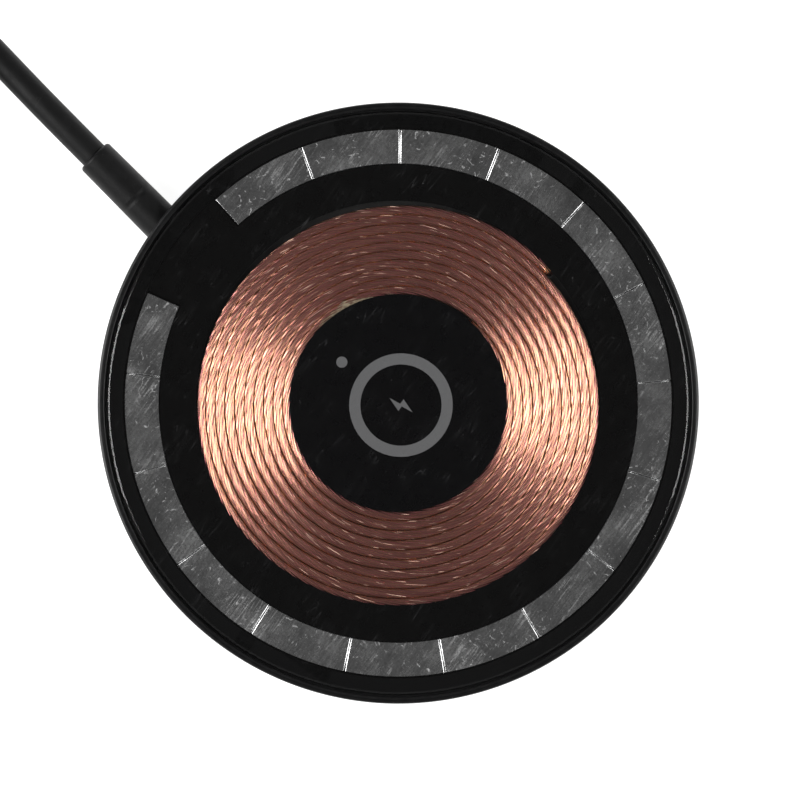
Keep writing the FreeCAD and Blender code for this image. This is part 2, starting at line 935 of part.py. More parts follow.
def make_wound_length():
    """The outer shape of the wound turns: five below, four on them, and the lead to the plug."""
    centre = wound_centre()
    x, y = centre.x, centre.y
    mean, gap = d["coil_mean_radius"], d["cord_spacing"]
    bottom = d["tie_thickness"]
    middle, top = bottom + gap, bottom + gap * 2
    wide, narrow = gap * 2.5, gap * 2
    rings = turned(
        "wound_rings",
        [
            (mean - wide, bottom),
            (mean + wide, bottom),
            (mean + wide, middle),
            (mean + narrow, middle),
            (mean + narrow, top),
            (mean - narrow, top),
            (mean - narrow, middle),
            (mean - wide, middle),
        ],
    )
    put(rings, x, y, 0)
    end, heading = route_end()
    stub_edges = [Part.LineSegment(end, end + heading * STUB_LENGTH).toShape()]
    stub = feature("wound_stub", swept(stub_edges, d["cord_radius"].value))
    edges, radii = rounded_path(plug_lead())
    print("lead to the plug: arc radii", [round(radius, 1) for radius in radii])
    lead = feature("wound_lead", swept(edges, d["cord_radius"].value))
    finished(fuse("wound", [rings, stub, lead]), "cord_wound")


def make_ties():
    """Two flat bands round the wound turns, which also stand it on the table."""
    centre = wound_centre()
    gap, thick = d["tie_gap"], d["tie_thickness"]
    wide = d["cord_spacing"] * 2.5
    height = d["cord_spacing"] * 2
    ties = []
    for number, angle in enumerate((60, 240)):
        outer = block(
            f"tie_{number}_outer",
            (d["coil_mean_radius"], as_size(0)),
            ((wide + gap + thick) * 2, d["tie_width"], height + thick * 2 + gap),
            as_size(0),
        )
        inner = block(
            f"tie_{number}_inner",
            (d["coil_mean_radius"], as_size(0)),
            ((wide + gap) * 2, d["tie_width"] + 2, height + gap),
            thick,
        )
        band = cut(f"tie_{number}", outer, inner)
        band.Placement = Placement(centre, Rotation(UP, angle))
        ties.append(band)
    finished(group("ties", ties), "cord_ties")


# Plug


def lay_on_plug(thing, along):
    """Turns a thing built on Z, with its width along X, onto the plug's axis."""
    root = plug_lead()[-1]
    turn = Rotation(UP, Vector(-1, 0, 0)) * Rotation(UP, 90)
    thing.Placement = Placement(root - Vector(as_size(along).value, 0, 0), turn)
    return thing


def centred_block(name, width, height, length):
    """A box that stands on its middle, ready to be laid along the plug."""
    box = doc.addObject("Part::Box", name)
    bind(box, "Length", width)
    bind(box, "Width", height)
    bind(box, "Height", length)
    put(box, -width / 2, -height / 2, 0)
    return box


def upright(edge):
    first, last = edge.Vertexes[0].Point, edge.Vertexes[-1].Point
    return abs(first.x - last.x) < 1e-4 and abs(first.y - last.y) < 1e-4


def rounded_block(name, width, height, length, rounding):
    box = centred_block(f"{name}_box", as_size(width), as_size(height), as_size(length))
    return blended("Part::Fillet", name, box, as_size(rounding), upright)


def make_plug():
    relief = doc.addObject("Part::Cone", "plug_sleeve")
    bind(relief, "Radius1", d["cord_radius"] + 0.1)
    bind(relief, "Radius2", d["plug_relief_radius"])
    bind(relief, "Height", d["plug_relief_length"])
    finished(lay_on_plug(relief, 0), "plug_strain_relief")
    body_start = d["plug_relief_length"]
    body = rounded_block(
        "grip", d["plug_width"], d["plug_height"], d["plug_length"], d["plug_rounding"]
    )
    finished(lay_on_plug(body, body_start), "plug_overmould")

    shell_start = body_start + d["plug_length"]
    width, height, wall = d["shell_width"], d["shell_height"], d["shell_wall"]
    corner = height / 2 - 0.01
    outside = rounded_block("shell_outside", width, height, d["shell_length"], corner)
    hollow_width, hollow_height = width - wall * 2, height - wall * 2
    inner_corner = hollow_height / 2 - 0.01
    inside = rounded_block(
        "shell_inside", hollow_width, hollow_height, d["shell_length"], inner_corner
    )
    finished(lay_on_plug(cut("shell", outside, inside), shell_start), "plug_shell")

    play = 0.02
    liner = rounded_block(
        "liner",
        hollow_width - play,
        hollow_height - play,
        d["shell_length"] - 0.25,
        inner_corner - play,
    )
    slot = centred_block("slot", d["slot_width"], d["slot_height"], d["slot_depth"])
    bind(slot, "Placement.Base.z", d["shell_length"] - 0.25 - d["slot_depth"])
    finished(lay_on_plug(cut("liner_slot", liner, slot), shell_start), "plug_insert")

    contacts = []
    count = int(d["contact_count"].value)
    for side in (-1, 1):
        for number in range(count):
            contact = centred_block(
                f"contact_{number}_{side}", as_size(0.25), as_size(0.1), as_size(3.6)
            )
            across = (number - (count - 1) / 2) * d["contact_pitch"]
            put(
                contact,
                across - 0.125,
                side * (d["slot_height"] / 2 - 0.06) - 0.05,
                d["shell_length"] - 4.6,
            )
            contacts.append(contact)
    finished(lay_on_plug(group("contacts", contacts), shell_start), "plug_contacts")


# Document


def report_volume(name, shape, expected):
    print(f"{name}: volume {shape.Volume:.1f}, section times length {expected:.1f}")


def check_document():
    """Stops if any object failed to build, or any sub-part has no valid shape."""
    bad = [o.Label for o in doc.Objects if {"Invalid", "Error"} & set(o.State)]
    for part in sub_parts:
        shape = part.Shape
        if shape.isNull() or not shape.isValid() or not shape.Solids:
            bad.append(part.Label)
    if bad:
        raise RuntimeError(f"these did not build: {', '.join(bad)}")


def export():
    os.makedirs("parts", exist_ok=True)
    for part in sub_parts:
        part.Shape.exportStep(os.path.join("parts", f"{part.Label}.step"))
    print(f"{len(sub_parts)} sub-parts written")


doc = FreeCAD.newDocument("charging_pad")
sub_parts = []
make_sheet()
d = read_sizes()
make_case()
make_foot()
make_window()
make_carrier()
make_magnets()
make_backing()
make_winding()
make_stack()
make_centre()
make_print()
make_board()
make_components()
make_coil_joints()
make_wires()
make_relief()
make_cord()
make_wound_length()
make_ties()
make_plug()
doc.recompute()
check_document()
export()
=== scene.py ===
"""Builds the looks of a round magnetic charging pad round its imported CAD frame.

Run as a script. Each operator makes one piece or one group of like pieces, in metres, where the
frame says. The pad's centre is the origin, +Z is up through the window, and the lead leaves on
the +Y side.
"""

import math

import bmesh
import bpy
from bpy.props import FloatProperty, FloatVectorProperty, IntProperty, PointerProperty
from mathutils import Matrix, Vector


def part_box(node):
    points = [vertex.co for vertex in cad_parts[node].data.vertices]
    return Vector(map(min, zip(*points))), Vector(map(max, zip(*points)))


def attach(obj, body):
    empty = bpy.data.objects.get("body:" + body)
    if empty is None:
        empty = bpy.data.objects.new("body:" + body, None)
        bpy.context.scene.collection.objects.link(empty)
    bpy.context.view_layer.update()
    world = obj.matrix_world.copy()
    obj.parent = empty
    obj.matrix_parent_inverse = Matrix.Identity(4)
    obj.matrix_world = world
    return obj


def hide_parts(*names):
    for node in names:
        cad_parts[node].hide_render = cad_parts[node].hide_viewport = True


bl_info = {
    "name": "Magnetic Charging Pad",
    "version": (1, 0, 0),
    "blender": (4, 5, 0),
    "location": "3D View > Sidebar > Charging Pad",
    "description": "Builds a magnetic charging pad with its winding, magnets, lead and plug",
    "category": "Object",
}

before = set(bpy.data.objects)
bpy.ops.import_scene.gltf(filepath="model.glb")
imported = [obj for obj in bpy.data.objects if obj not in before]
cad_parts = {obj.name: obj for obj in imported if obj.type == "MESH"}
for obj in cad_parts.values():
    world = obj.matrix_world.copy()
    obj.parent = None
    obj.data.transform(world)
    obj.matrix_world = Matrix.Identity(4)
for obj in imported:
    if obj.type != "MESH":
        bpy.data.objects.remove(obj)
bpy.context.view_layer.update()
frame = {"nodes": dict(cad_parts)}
BODY = "root"
MM = 0.001
UP = Vector((0, 0, 1))
NOTHING = 1e-9


def top_of(node):
    """A node's highest point."""
    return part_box(node)[1].z


def bottom_of(node):
    """A node's lowest point."""
    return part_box(node)[0].z


def radius_of(node):
    """Half of a node's width, for a round node."""
    low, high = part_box(node)
    return (high.x - low.x) / 2


def level_direction(angle):
    """A level direction, turned from +X."""
    return Vector((math.cos(angle), math.sin(angle), 0))


# Settings


def length_setting(name, description, default):
    return FloatProperty(
        name=name, description=description, default=default, min=0, precision=5,
        subtype="DISTANCE", unit="LENGTH",
    )


def angle_setting(name, description, degrees):
    return FloatProperty(
        name=name, description=description, default=math.radians(degrees), subtype="ANGLE",
        unit="ROTATION",
    )


def colour_setting(name, description, default):
    return FloatVectorProperty(
        name=name, description=description, default=default, size=3, min=0, max=1,
        subtype="COLOR",
    )


class CaseSettings(bpy.types.PropertyGroup):
    lip_rounding: length_setting("Lip rounding", "Radius of the lip's outer edge", 0.28 * MM)
    base_rounding: length_setting("Base rounding", "Radius of the case's bottom edge", 1.0 * MM)
    wall: length_setting("Wall", "Thickness of the wall beside the window", 0.65 * MM)
    bead: length_setting("Bead", "Depth of the fine groove along the lip", 0.03 * MM)
    floor: length_setting("Floor", "Thickness of the bottom", 0.8 * MM)
    foot_width: length_setting("Foot width", "Width of the groove for the foot ring", 7.2 * MM)
    foot_gap: length_setting("Foot gap", "Gap between the foot ring and its groove", 0.1 * MM)
    colour: colour_setting("Colour", "Colour of the black plastic", (0.003, 0.003, 0.0032))


class WindowSettings(bpy.types.PropertyGroup):
    bevel: length_setting("Bevel", "Width of the bevel round the window", 0.46 * MM)
    bevel_drop: length_setting("Bevel drop", "Height of the bevel", 0.405 * MM)
    edge_ease: length_setting("Edge ease", "Radius of the bevel's edges", 0.14 * MM)


class MagnetSettings(bpy.types.PropertyGroup):
    count: IntProperty(name="Count", description="Magnets in the ring", default=16, min=1)
    start: angle_setting("Start", "Where the first magnet starts, from +X", 102.1)
    short_span: angle_setting("Short span", "Angle that the first magnet takes", 17.65)
    span: angle_setting("Span", "Angle that each other magnet takes", 21.22)
    joint: angle_setting("Joint", "Angle left between two magnets", 0.13)
    depth: length_setting("Depth", "From the inner to the outer face", 3.35 * MM)
    ease: length_setting("Ease", "Radius of the plated edges", 0.12 * MM)


class WindingSettings(bpy.types.PropertyGroup):
    pitch: length_setting("Pitch", "Distance from one turn to the next", 0.934 * MM)
    wire: length_setting("Wire", "Diameter of the stranded wire", 0.93 * MM)
    outer_radius: length_setting("Outer radius", "Radius of the first turn", 19.89 * MM)
    turns: IntProperty(name="Turns", description="Turns of the winding", default=10, min=1)
    strands: IntProperty(
        name="Strands", description="Strands seen round the wire", default=14, min=3
    )
    lay: length_setting("Lay", "Length in which the strands go once round", 21.0 * MM)
    unevenness: length_setting("Unevenness", "How far the wire's surface wanders", 0.04 * MM)
    squareness: FloatProperty(
        name="Squareness",
        description="How square its neighbours press the wire, from 2 for round",
        default=3.3,
        min=2,
    )
    sections: IntProperty(
        name="Sections", description="Sections along the whole wire", default=1740, min=100
    )
    start: angle_setting("Start", "Angle of the outer end, from +X", -9)
    lean: length_setting("Lean", "How far the outer turn lies off centre", 0.64 * MM)
    lean_angle: angle_setting("Lean angle", "Where the outer turn leans to, from +X", 236)
    inner_lean: length_setting("Inner lean", "The same for the inner turn", 0.3 * MM)
    inner_lean_angle: angle_setting("Inner lean angle", "The same for the inner turn", 258)
    oval: length_setting("Oval", "How far the outer turn is out of round", 0.16 * MM)
    oval_angle: angle_setting("Oval angle", "Where it is widest, from +X", -42)
    copper: colour_setting("Copper", "Colour of the enamelled wire", (0.96, 0.56, 0.31))


class GlueSettings(bpy.types.PropertyGroup):
    first: angle_setting("First", "Where the trace starts, from +X", 44)
    last: angle_setting("Last", "Where the trace ends, from +X", 88)
    width: length_setting("Width", "Width at its middle", 0.85 * MM)
    under_disc: length_setting("Under disc", "How far it reaches in from the rim", 0.35 * MM)
    rise: length_setting("Rise", "How far it stands over the winding", 0.03 * MM)
    thickness: length_setting("Thickness", "Its depth below that", 0.1 * MM)
    crown: length_setting("Crown", "How far its middle bulges", 0.06 * MM)


class LeadSettings(bpy.types.PropertyGroup):
    exit_angle: angle_setting("Exit angle", "Where the sleeve leaves the rim, from +X", 88.7)
    relief_angle: angle_setting("Relief angle", "The way that the sleeve points", 80.9)
    exit_height: length_setting("Exit height", "Height of the sleeve's axis", 2.85 * MM)
    relief_length: length_setting("Relief length", "From the rim to the sleeve's tip", 9.2 * MM)
    diameter: length_setting("Diameter", "Diameter of the lead", 2.85 * MM)
    length: length_setting("Length", "From the strain relief to the plug", 1.0)
    stub: length_setting("Stub", "From the last bend to the outer wound turn", 11.6 * MM)
    spacing: length_setting("Spacing", "From one wound turn to the next", 2.9 * MM)
    mean_radius: length_setting("Mean radius", "Middle of the wound turns", 16.7 * MM)
    tie_thickness: length_setting("Tie thickness", "Thickness of each tie", 0.4 * MM)
    tie_width: length_setting("Tie width", "Width of each tie", 3.2 * MM)
    tie_room: length_setting("Tie room", "From the wound turns to a tie's outside", 0.55 * MM)
    tie_angle: angle_setting("Tie angle", "Where the first tie lies, from +X", 60)
    points: IntProperty(
        name="Points", description="Control points in each wound turn", default=16, min=12
    )
    colour: colour_setting("Colour", "Colour of the jacket", (0.005, 0.005, 0.0051))


class StageSettings(bpy.types.PropertyGroup):
    view_width: length_setting("View width", "Width that the camera sees at the pad", 78.8 * MM)
    camera_height: length_setting("Camera height", "Height of the camera", 0.75)
    roll: angle_setting("Roll", "Turn of the camera about the upright", -54)
    aim_x: length_setting("Aim x", "How far past the pad's centre the camera looks", 0.35 * MM)
    aim_y: length_setting("Aim y", "The same across that", 0.04 * MM)
    box_width: length_setting("Box width", "Width of each soft light", 0.45)
    box_height: length_setting("Box height", "Height of each soft light", 0.55)
    box_distance: length_setting("Box distance", "From each soft light to the pad", 0.6)
    box_elevation: angle_setting("Box elevation", "How high each soft light stands", 32)
    balance: FloatProperty(
        name="Balance", description="How much stronger the left light is", default=0.13
    )
    box_power: FloatProperty(
        name="Box power", description="Power of each soft light, in watts", default=4.1, min=0
    )


SETTINGS = {
    "pad_case": CaseSettings,
    "pad_window": WindowSettings,
    "pad_magnets": MagnetSettings,
    "pad_winding": WindingSettings,
    "pad_glue": GlueSettings,
    "pad_lead": LeadSettings,
    "pad_stage": StageSettings,
}


# Node trees


class Net:
    """Adds nodes to a tree and wires them up."""

    def __init__(self, tree, prefix):
        self.tree = tree
        self.prefix = prefix

    def put(self, socket, value):
        """Links a socket to another one, or sets its value."""
        if isinstance(value, bpy.types.NodeSocket):
            self.tree.links.new(value, socket)
        else:
            socket.default_value = value

    def node(self, kind, *values, settings=None, **named):
        """A new node, with inputs given in order or by name."""
        name = kind if "Node" in kind else self.prefix + kind
        made = self.tree.nodes.new(name)
        for key, value in (settings or {}).items():
            setattr(made, key, value)
        for socket, value in zip(made.inputs, values):
            if value is not None:
                self.put(socket, value)
        for key, value in named.items():
            self.put(made.inputs[key.replace("_", " ")], value)
        return made

    def math(self, operation, *values):
        return self.node("ShaderNodeMath", *values, settings={"operation": operation}).outputs[0]

    def times(self, vector, factor):
        """A vector made longer or shorter."""
        made = self.node(
            "ShaderNodeVectorMath", vector, settings={"operation": "SCALE"}, Scale=factor
        )
        return made.outputs[0]


class Finish(Net):
    """A material: a Principled shader and the patterns that feed it. Patterns are in mm."""

    def __init__(self, name, colour, roughness, **sockets):
        self.material = bpy.data.materials.new(name)
        self.material.use_nodes = True
        super().__init__(self.material.node_tree, "ShaderNode")
        self.tree.nodes.clear()
        self.shader = self.node("BsdfPrincipled", Base_Color=(*colour, 1), Roughness=roughness)
        for key, value in sockets.items():
            self.put(self.shader.inputs[key.replace("_", " ")], value)
        self.output = self.node("OutputMaterial", Surface=self.shader.outputs[0])
        coordinates = self.node("TexCoord").outputs["Object"]
        self.place = self.times(coordinates, 1 / MM)
        self.relief = None

    def noise(self, scale, detail=2.0, roughness=0.5, distortion=0.0, vector=None):
        made = self.node(
            "TexNoise",
            Vector=self.place if vector is None else vector,
            Scale=scale,
            Detail=detail,
            Roughness=roughness,
            Distortion=distortion,
        )
        return made.outputs[0]

    def step(self, value, low, high, floor=0.0, ceiling=1.0):
        """value from low to high, spread from floor to ceiling and held there."""
        settings = {"clamp": True}
        return self.node("MapRange", value, low, high, floor, ceiling, settings=settings).outputs[0]

    def blend(self, share, first, second):
        """A colour between two, each a socket or three numbers."""
        made = self.node("ShaderNodeMix", settings={"data_type": "RGBA"})
        colours = [c if isinstance(c, bpy.types.NodeSocket) else (*c, 1) for c in (first, second)]
        self.put(made.inputs["Factor"], share)
        self.put(made.inputs[6], colours[0])
        self.put(made.inputs[7], colours[1])
        return made.outputs[2]

    def stretched(self, turn, along, across):
        """Coordinates drawn out along X and then turned, so that each turn gives other marks."""
        made = self.node("Mapping", self.place)
        made.inputs["Rotation"].default_value = (0, 0, math.radians(turn))
        made.inputs["Scale"].default_value = (along, across, 0.4)
        return made.outputs[0]

    def specks(self, scale, size, share):
        """Small scattered dots: cells per mm, dot size in cells, share of cells with a dot."""
        cells = self.node("TexVoronoi", Vector=self.place, Scale=scale)
        near = self.step(cells.outputs["Distance"], size, size * 0.6)
        chosen = self.node("SeparateColor", cells.outputs["Color"]).outputs[0]
        return self.math("MULTIPLY", near, self.step(chosen, share, share - 0.001))

    def hairlines(self, turn, width, length=0.05, rows=0.8):
        """Fine broken lines along X. Each turn gives other lines."""
        wave = self.noise(1.0, 1.0, 0.5, 0.3, self.stretched(turn, length, rows))
        off_line = self.math("ABSOLUTE", self.math("SUBTRACT", wave, 0.5))
        line = self.step(off_line, width, width * 0.3)
        broken = self.step(self.noise(0.35, 2.0), 0.5, 0.6)
        return self.math("MULTIPLY", line, broken)

    def largest(self, *values):
        """The largest of some values."""
        most = values[0]
        for value in values[1:]:
            most = self.math("MAXIMUM", most, value)
        return most

    def colour_from(self, share, first, second):
        self.put(self.shader.inputs["Base Color"], self.blend(share, first, second))

    def roughness_from(self, value, low, high, least, most):
        self.put(self.shader.inputs["Roughness"], self.step(value, low, high, least, most))

    def raise_by(self, height, distance, strength=1.0):
        """Adds to the surface's small relief. distance is in mm."""
        made = self.node("Bump", Strength=strength, Distance=distance * MM, Height=height)
        if self.relief is not None:
            self.put(made.inputs["Normal"], self.relief)
        self.relief = made.outputs[0]
        self.put(self.shader.inputs["Normal"], self.relief)


FINISHES = {}


def finish(name):
    """A finish by name, made the first time that it is asked for."""
    if name not in FINISHES:
        if name in SLEEVES:
            FINISHES[name] = core_sleeve(name, SLEEVES[name])
        else:
            FINISHES[name] = FINISH_MAKERS[name]()
    return FINISHES[name]


def moulded_black(name, colour, roughness, grain=9.0, grain_depth=0.006, dust=0.25, gloss=0.2):
    """Black moulded plastic with a fine grain, hairline scratches and a little dust.

    grain is in cells per mm, grain_depth in mm, and dust is the share of cells with a speck."""
    made = Finish(name, colour, roughness, Specular_IOR_Level=gloss)
    fine = made.noise(grain, 3.0, 0.6)
    made.raise_by(fine, grain_depth)
    made.roughness_from(made.noise(1.3, 3.0), 0.3, 0.7, roughness - 0.05, roughness + 0.06)
    lines = made.largest(made.hairlines(24, 0.003), made.hairlines(112, 0.002))
    dots = made.specks(1.9, 0.07, dust)
    pale = tuple(min(1.0, value * 3 + 0.03) for value in colour)
    shown = made.largest(made.math("MULTIPLY", lines, 0.2), dots)
    made.colour_from(shown, colour, pale)
    return made


def case_plastic():
    colour = tuple(bpy.context.scene.pad_case.colour)
    return moulded_black("case_plastic", colour, 0.36, 11.0, 0.004, gloss=0.4).material


def carrier_plastic():
    colour = (0.0014, 0.0013, 0.0013)
    return moulded_black("carrier_plastic", colour, 0.3, 7.0, 0.001, 0.15, 0.1).material


def adhesive_black():
    """Black adhesive with a few pale grains caught in it."""
    made = Finish("adhesive_black", (0.002, 0.002, 0.0021), 0.35, Specular_IOR_Level=0.15)
    made.raise_by(made.noise(2.5, 2.0), 0.01)
    made.colour_from(made.specks(1.2, 0.05, 0.15), (0.002, 0.002, 0.0021), (0.03, 0.03, 0.03))
    return made.material


def foot_silicone():
    """Soft dark silicone that has picked up dust."""
    made = Finish("foot_silicone", (0.02, 0.02, 0.021), 0.68)
    made.raise_by(made.noise(14.0, 2.0), 0.006)
    dots = made.specks(2.4, 0.09, 0.3)
    made.colour_from(dots, (0.02, 0.02, 0.021), (0.12, 0.12, 0.115))
    return made.material


def clear_pane():
    """Clear plastic that lets light straight through, with a gloss, scratches and dust."""
    made = Finish("clear_pane", (0.35, 0.35, 0.36), 0.6)
    sets = ((8, 0.0022), (58, 0.0016), (131, 0.002))
    scratches = made.largest(*(made.hairlines(turn, width) for turn, width in sets))
    scratches = made.math("MULTIPLY", scratches, 0.05)
    dots = made.largest(made.specks(0.8, 0.03, 0.22), made.specks(2.1, 0.04, 0.1))
    marks = made.largest(scratches, made.math("MULTIPLY", dots, 0.45))
    clear = made.node("BsdfTransparent", Color=(0.985, 0.985, 0.985, 1))
    gloss = made.node("BsdfGlossy", Color=(1, 1, 1, 1), Roughness=0.035)
    mirror = made.node("Fresnel", IOR=1.47).outputs[0]
    most = 0.06  # keeps the inside in sight from a low angle
    outside = made.math("SUBTRACT", 1.0, made.node("NewGeometry").outputs["Backfacing"])
    share = made.math("MULTIPLY", made.math("MINIMUM", mirror, most), outside)
    pane = made.node("MixShader", share, clear.outputs[0], gloss.outputs[0])
    marked = made.node("MixShader", marks, pane.outputs[0], made.shader.outputs[0])
    made.put(made.output.inputs["Surface"], marked.outputs[0])
    return made.material


def arc_scratches(made, scale, rings, share):
    """Broken curved scratches in clusters: cells and rings per mm, and the share of cells used."""
    cells = made.node("TexVoronoi", Vector=made.place, Scale=scale)
    far = made.math("DIVIDE", cells.outputs["Distance"], scale)
    far = made.math("ADD", far, made.math("MULTIPLY", made.noise(0.7, 2.0), 1.3))
    ring = made.math("FRACT", made.math("MULTIPLY", far, rings))
    line = made.step(made.math("ABSOLUTE", made.math("SUBTRACT", ring, 0.5)), 0.09, 0.02)
    chosen = made.node("SeparateColor", cells.outputs["Color"]).outputs[0]
    line = made.math("MULTIPLY", line, made.step(chosen, share, share - 0.001))
    return made.math("MULTIPLY", line, made.step(made.noise(1.6, 2.0, 0.6), 0.55, 0.6))


def scored_patches(made, turn, bareness):
    """Patches of faint scores along X. Each turn gives others, and bareness sets them apart."""
    scored = made.noise(1.0, 2.0, 0.6, 0.9, made.stretched(turn, 0.16, 3.4))
    scored = made.math("MULTIPLY", made.step(scored, 0.58, 0.66), 0.4)
    patches = made.noise(0.17 + 0.1 * bareness, 3.0)
    return made.math("MULTIPLY", scored, made.step(patches, bareness + 0.08, bareness + 0.14))


def magnet_plating():
    """Nickel plating with a dull grain, hazy patches, scratches, and a painted highlight on the
    edges at the joints.
    """
    made = Finish("magnet_plating", (0.5, 0.5, 0.5), 0.3, Metallic=1.0)
    grain = made.noise(5.5, 4.0, 0.75)
    patches = made.noise(0.2, 4.0, 0.65)
    brushed = made.noise(1.0, 4.0, 0.8, 0.3, made.stretched(28, 0.5, 5.0))
    tone = made.math("MULTIPLY", grain, 0.3)
    tone = made.math("ADD", tone, made.math("MULTIPLY", brushed, 0.3))
    tone = made.math("ADD", tone, made.math("MULTIPLY", patches, 0.4))
    base = made.blend(made.step(tone, 0.4, 0.62), (0.4, 0.4, 0.4), (0.72, 0.72, 0.72))
    cuts = made.largest(
        arc_scratches(made, 0.2, 1.5, 0.34),
        arc_scratches(made, 0.31, 2.1, 0.3),
        scored_patches(made, 70, 0.42),
        scored_patches(made, -35, 0.5),
        scored_patches(made, 12, 0.46),
        made.specks(1.6, 0.09, 0.16),
    )
    cuts = made.math("MULTIPLY", cuts, made.step(grain, 0.4, 0.55, 0.3, 1.0))
    normal = made.node("NewGeometry").outputs["Normal"]
    level = made.step(made.node("SeparateXYZ", normal).outputs[2], 0.9, 0.98)
    cuts = made.math("MULTIPLY", cuts, level)
    # Painted highlight: where the surface is not level, at the eased edges and joints, the plating
    # is painted brighter.
    base = made.blend(level, (0.85, 0.85, 0.85), base)
    made.colour_from(cuts, base, (0.42, 0.42, 0.42))
    made.put(made.shader.inputs["Metallic"], made.math("SUBTRACT", 1.0, cuts))
    made.roughness_from(tone, 0.4, 0.62, 0.2, 0.32)
    made.raise_by(grain, 0.007)
    return made.material


def zinc_strip():
    """Zinc-plated steel, cloudy in its gloss."""
    made = Finish("zinc_strip", (0.5, 0.51, 0.53), 0.35, Metallic=1.0)
    made.roughness_from(made.noise(1.0, 3.0), 0.3, 0.7, 0.25, 0.5)
    return made.material


def copper_wire():
    """Enamelled copper strands. The winding's attributes say where a point lies on its strand."""
    copper = tuple(bpy.context.scene.pad_winding.copper)
    made = Finish("copper_wire", copper, 0.3, Metallic=1.0)
    along = made.node("Attribute", settings={"attribute_name": "along"}).outputs["Fac"]
    around = made.node("Attribute", settings={"attribute_name": "around"}).outputs["Vector"]
    upward = made.node("Attribute", settings={"attribute_name": "upward"}).outputs["Fac"]

    def strand_noise(cells_around, cells_along, detail):
        """Noise drawn out along the strands: cells per radian round the wire, and per mm."""
        length = made.node("CombineXYZ", 0.0, 0.0, made.math("MULTIPLY", along, cells_along / MM))
        spot = made.node(
            "VectorMath", made.times(around, cells_around), length.outputs[0],
            settings={"operation": "ADD"},
        )
        return made.noise(1.0, detail, 0.65, 0.0, spot.outputs[0])

    streaks = strand_noise(6.5, 0.11, 2.0)
    # Painted shade: crowns facing the dim overhead light get a darker purplish copper, and sides in
    # the grooves between turns a dark red-brown.
    top = tuple(value * share for value, share in zip(copper, (1.02, 0.52, 1.14)))
    side = (0.5, 0.2, 0.15)
    crown = made.blend(made.step(upward, 0.84, 0.97), copper, top)
    shaded = made.blend(made.step(upward, 0.4, 0.7), side, crown)
    dull = made.blend(0.55, shaded, (0.16, 0.05, 0.05))
    base = made.blend(made.step(streaks, 0.38, 0.54), dull, shaded)
    worn = made.step(strand_noise(4.6, 0.3, 1.0), 0.42, 0.6, 0.0, 0.34)
    base = made.blend(worn, base, (0.2, 0.07, 0.07))
    # Painted highlights: short pale dashes along the strands, non-metal so that they show bright
    # under any light.
    painted_glints = made.step(strand_noise(7.0, 0.4, 1.0), 0.7, 0.715)
    made.colour_from(painted_glints, base, (0.95, 0.62, 0.48))
    # Less metal on the sides, so that the painted shade in the grooves shows.
    metal = made.step(upward, 0.3, 0.65, 0.7, 1.0)
    metal = made.math("MULTIPLY", metal, made.math("SUBTRACT", 1.0, painted_glints))
    made.put(made.shader.inputs["Metallic"], metal)
    made.roughness_from(streaks, 0.35, 0.65, 0.32, 0.2)
    made.raise_by(streaks, 0.03, 0.6)
    return made.material


def dark_ferrite():
    """Pressed and fired dark powder."""
    made = Finish("dark_ferrite", (0.05, 0.05, 0.054), 0.6)
    made.colour_from(made.noise(5.0, 4.0), (0.035, 0.035, 0.038), (0.07, 0.07, 0.075))
    made.raise_by(made.noise(16.0, 2.0), 0.006)
    return made.material


def shield_foil():
    """Aluminium foil with shallow creases."""
    made = Finish("shield_foil", (0.78, 0.78, 0.79), 0.3, Metallic=1.0)
    made.raise_by(made.noise(1.1, 3.0), 0.03, 0.5)
    return made.material


def amber_film():
    """Clear amber insulating film, uneven in depth of colour."""
    made = Finish("amber_film", (0.42, 0.2, 0.04), 0.25)
    made.colour_from(made.noise(0.6, 2.0), (0.38, 0.17, 0.03), (0.46, 0.24, 0.05))
    return made.material


def pale_glue():
    """Dried glue, mottled between brown and straw."""
    made = Finish("pale_glue", (0.1, 0.08, 0.05), 0.45, Specular_IOR_Level=0.3)
    mottle = made.step(made.noise(3.0, 4.0, 0.7), 0.4, 0.62)
    made.colour_from(mottle, (0.12, 0.075, 0.05), (0.3, 0.25, 0.165))
    made.raise_by(made.noise(5.0, 3.0), 0.03)
    return made.material


def dull_film():
    """Black film under the winding, with a shallow ripple."""
    made = Finish("dull_film", (0.03, 0.028, 0.025), 0.5)
    made.colour_from(made.noise(1.5, 3.0), (0.003, 0.0028, 0.0026), (0.008, 0.0075, 0.007))
    made.raise_by(made.noise(4.0, 2.0), 0.01)
    return made.material


def black_foam():
    """Open foam, darker in its cells."""
    made = Finish("black_foam", (0.03, 0.03, 0.031), 0.9)
    cells = made.noise(7.0, 3.0)
    made.raise_by(cells, 0.05)
    made.colour_from(cells, (0.015, 0.015, 0.016), (0.05, 0.05, 0.052))
    return made.material


def disc_film():
    """The black film disc, with fingermarks and a few bright specks."""
    return moulded_black("disc_film", (0.0012, 0.0011, 0.0014), 0.3, 6.0, 0.001, 0.2, 0.1).material


def printed_ink():
    """Grey ink, a little uneven at the scale of its dots."""
    made = Finish("printed_ink", (0.11, 0.11, 0.113), 0.55)
    made.colour_from(made.noise(8.0, 3.0, 0.7), (0.085, 0.085, 0.087), (0.13, 0.13, 0.133))
    return made.material


def board_mask():
    """Green solder mask with the copper tracks raised a little under it."""
    made = Finish("board_mask", (0.02, 0.09, 0.05), 0.3)
    tracks = made.node("TexBrick", Vector=made.place, Scale=0.45, Mortar_Size=0.04)
    made.colour_from(tracks.outputs["Fac"], (0.018, 0.085, 0.045), (0.05, 0.16, 0.09))
    made.raise_by(tracks.outputs["Fac"], 0.03)
    return made.material


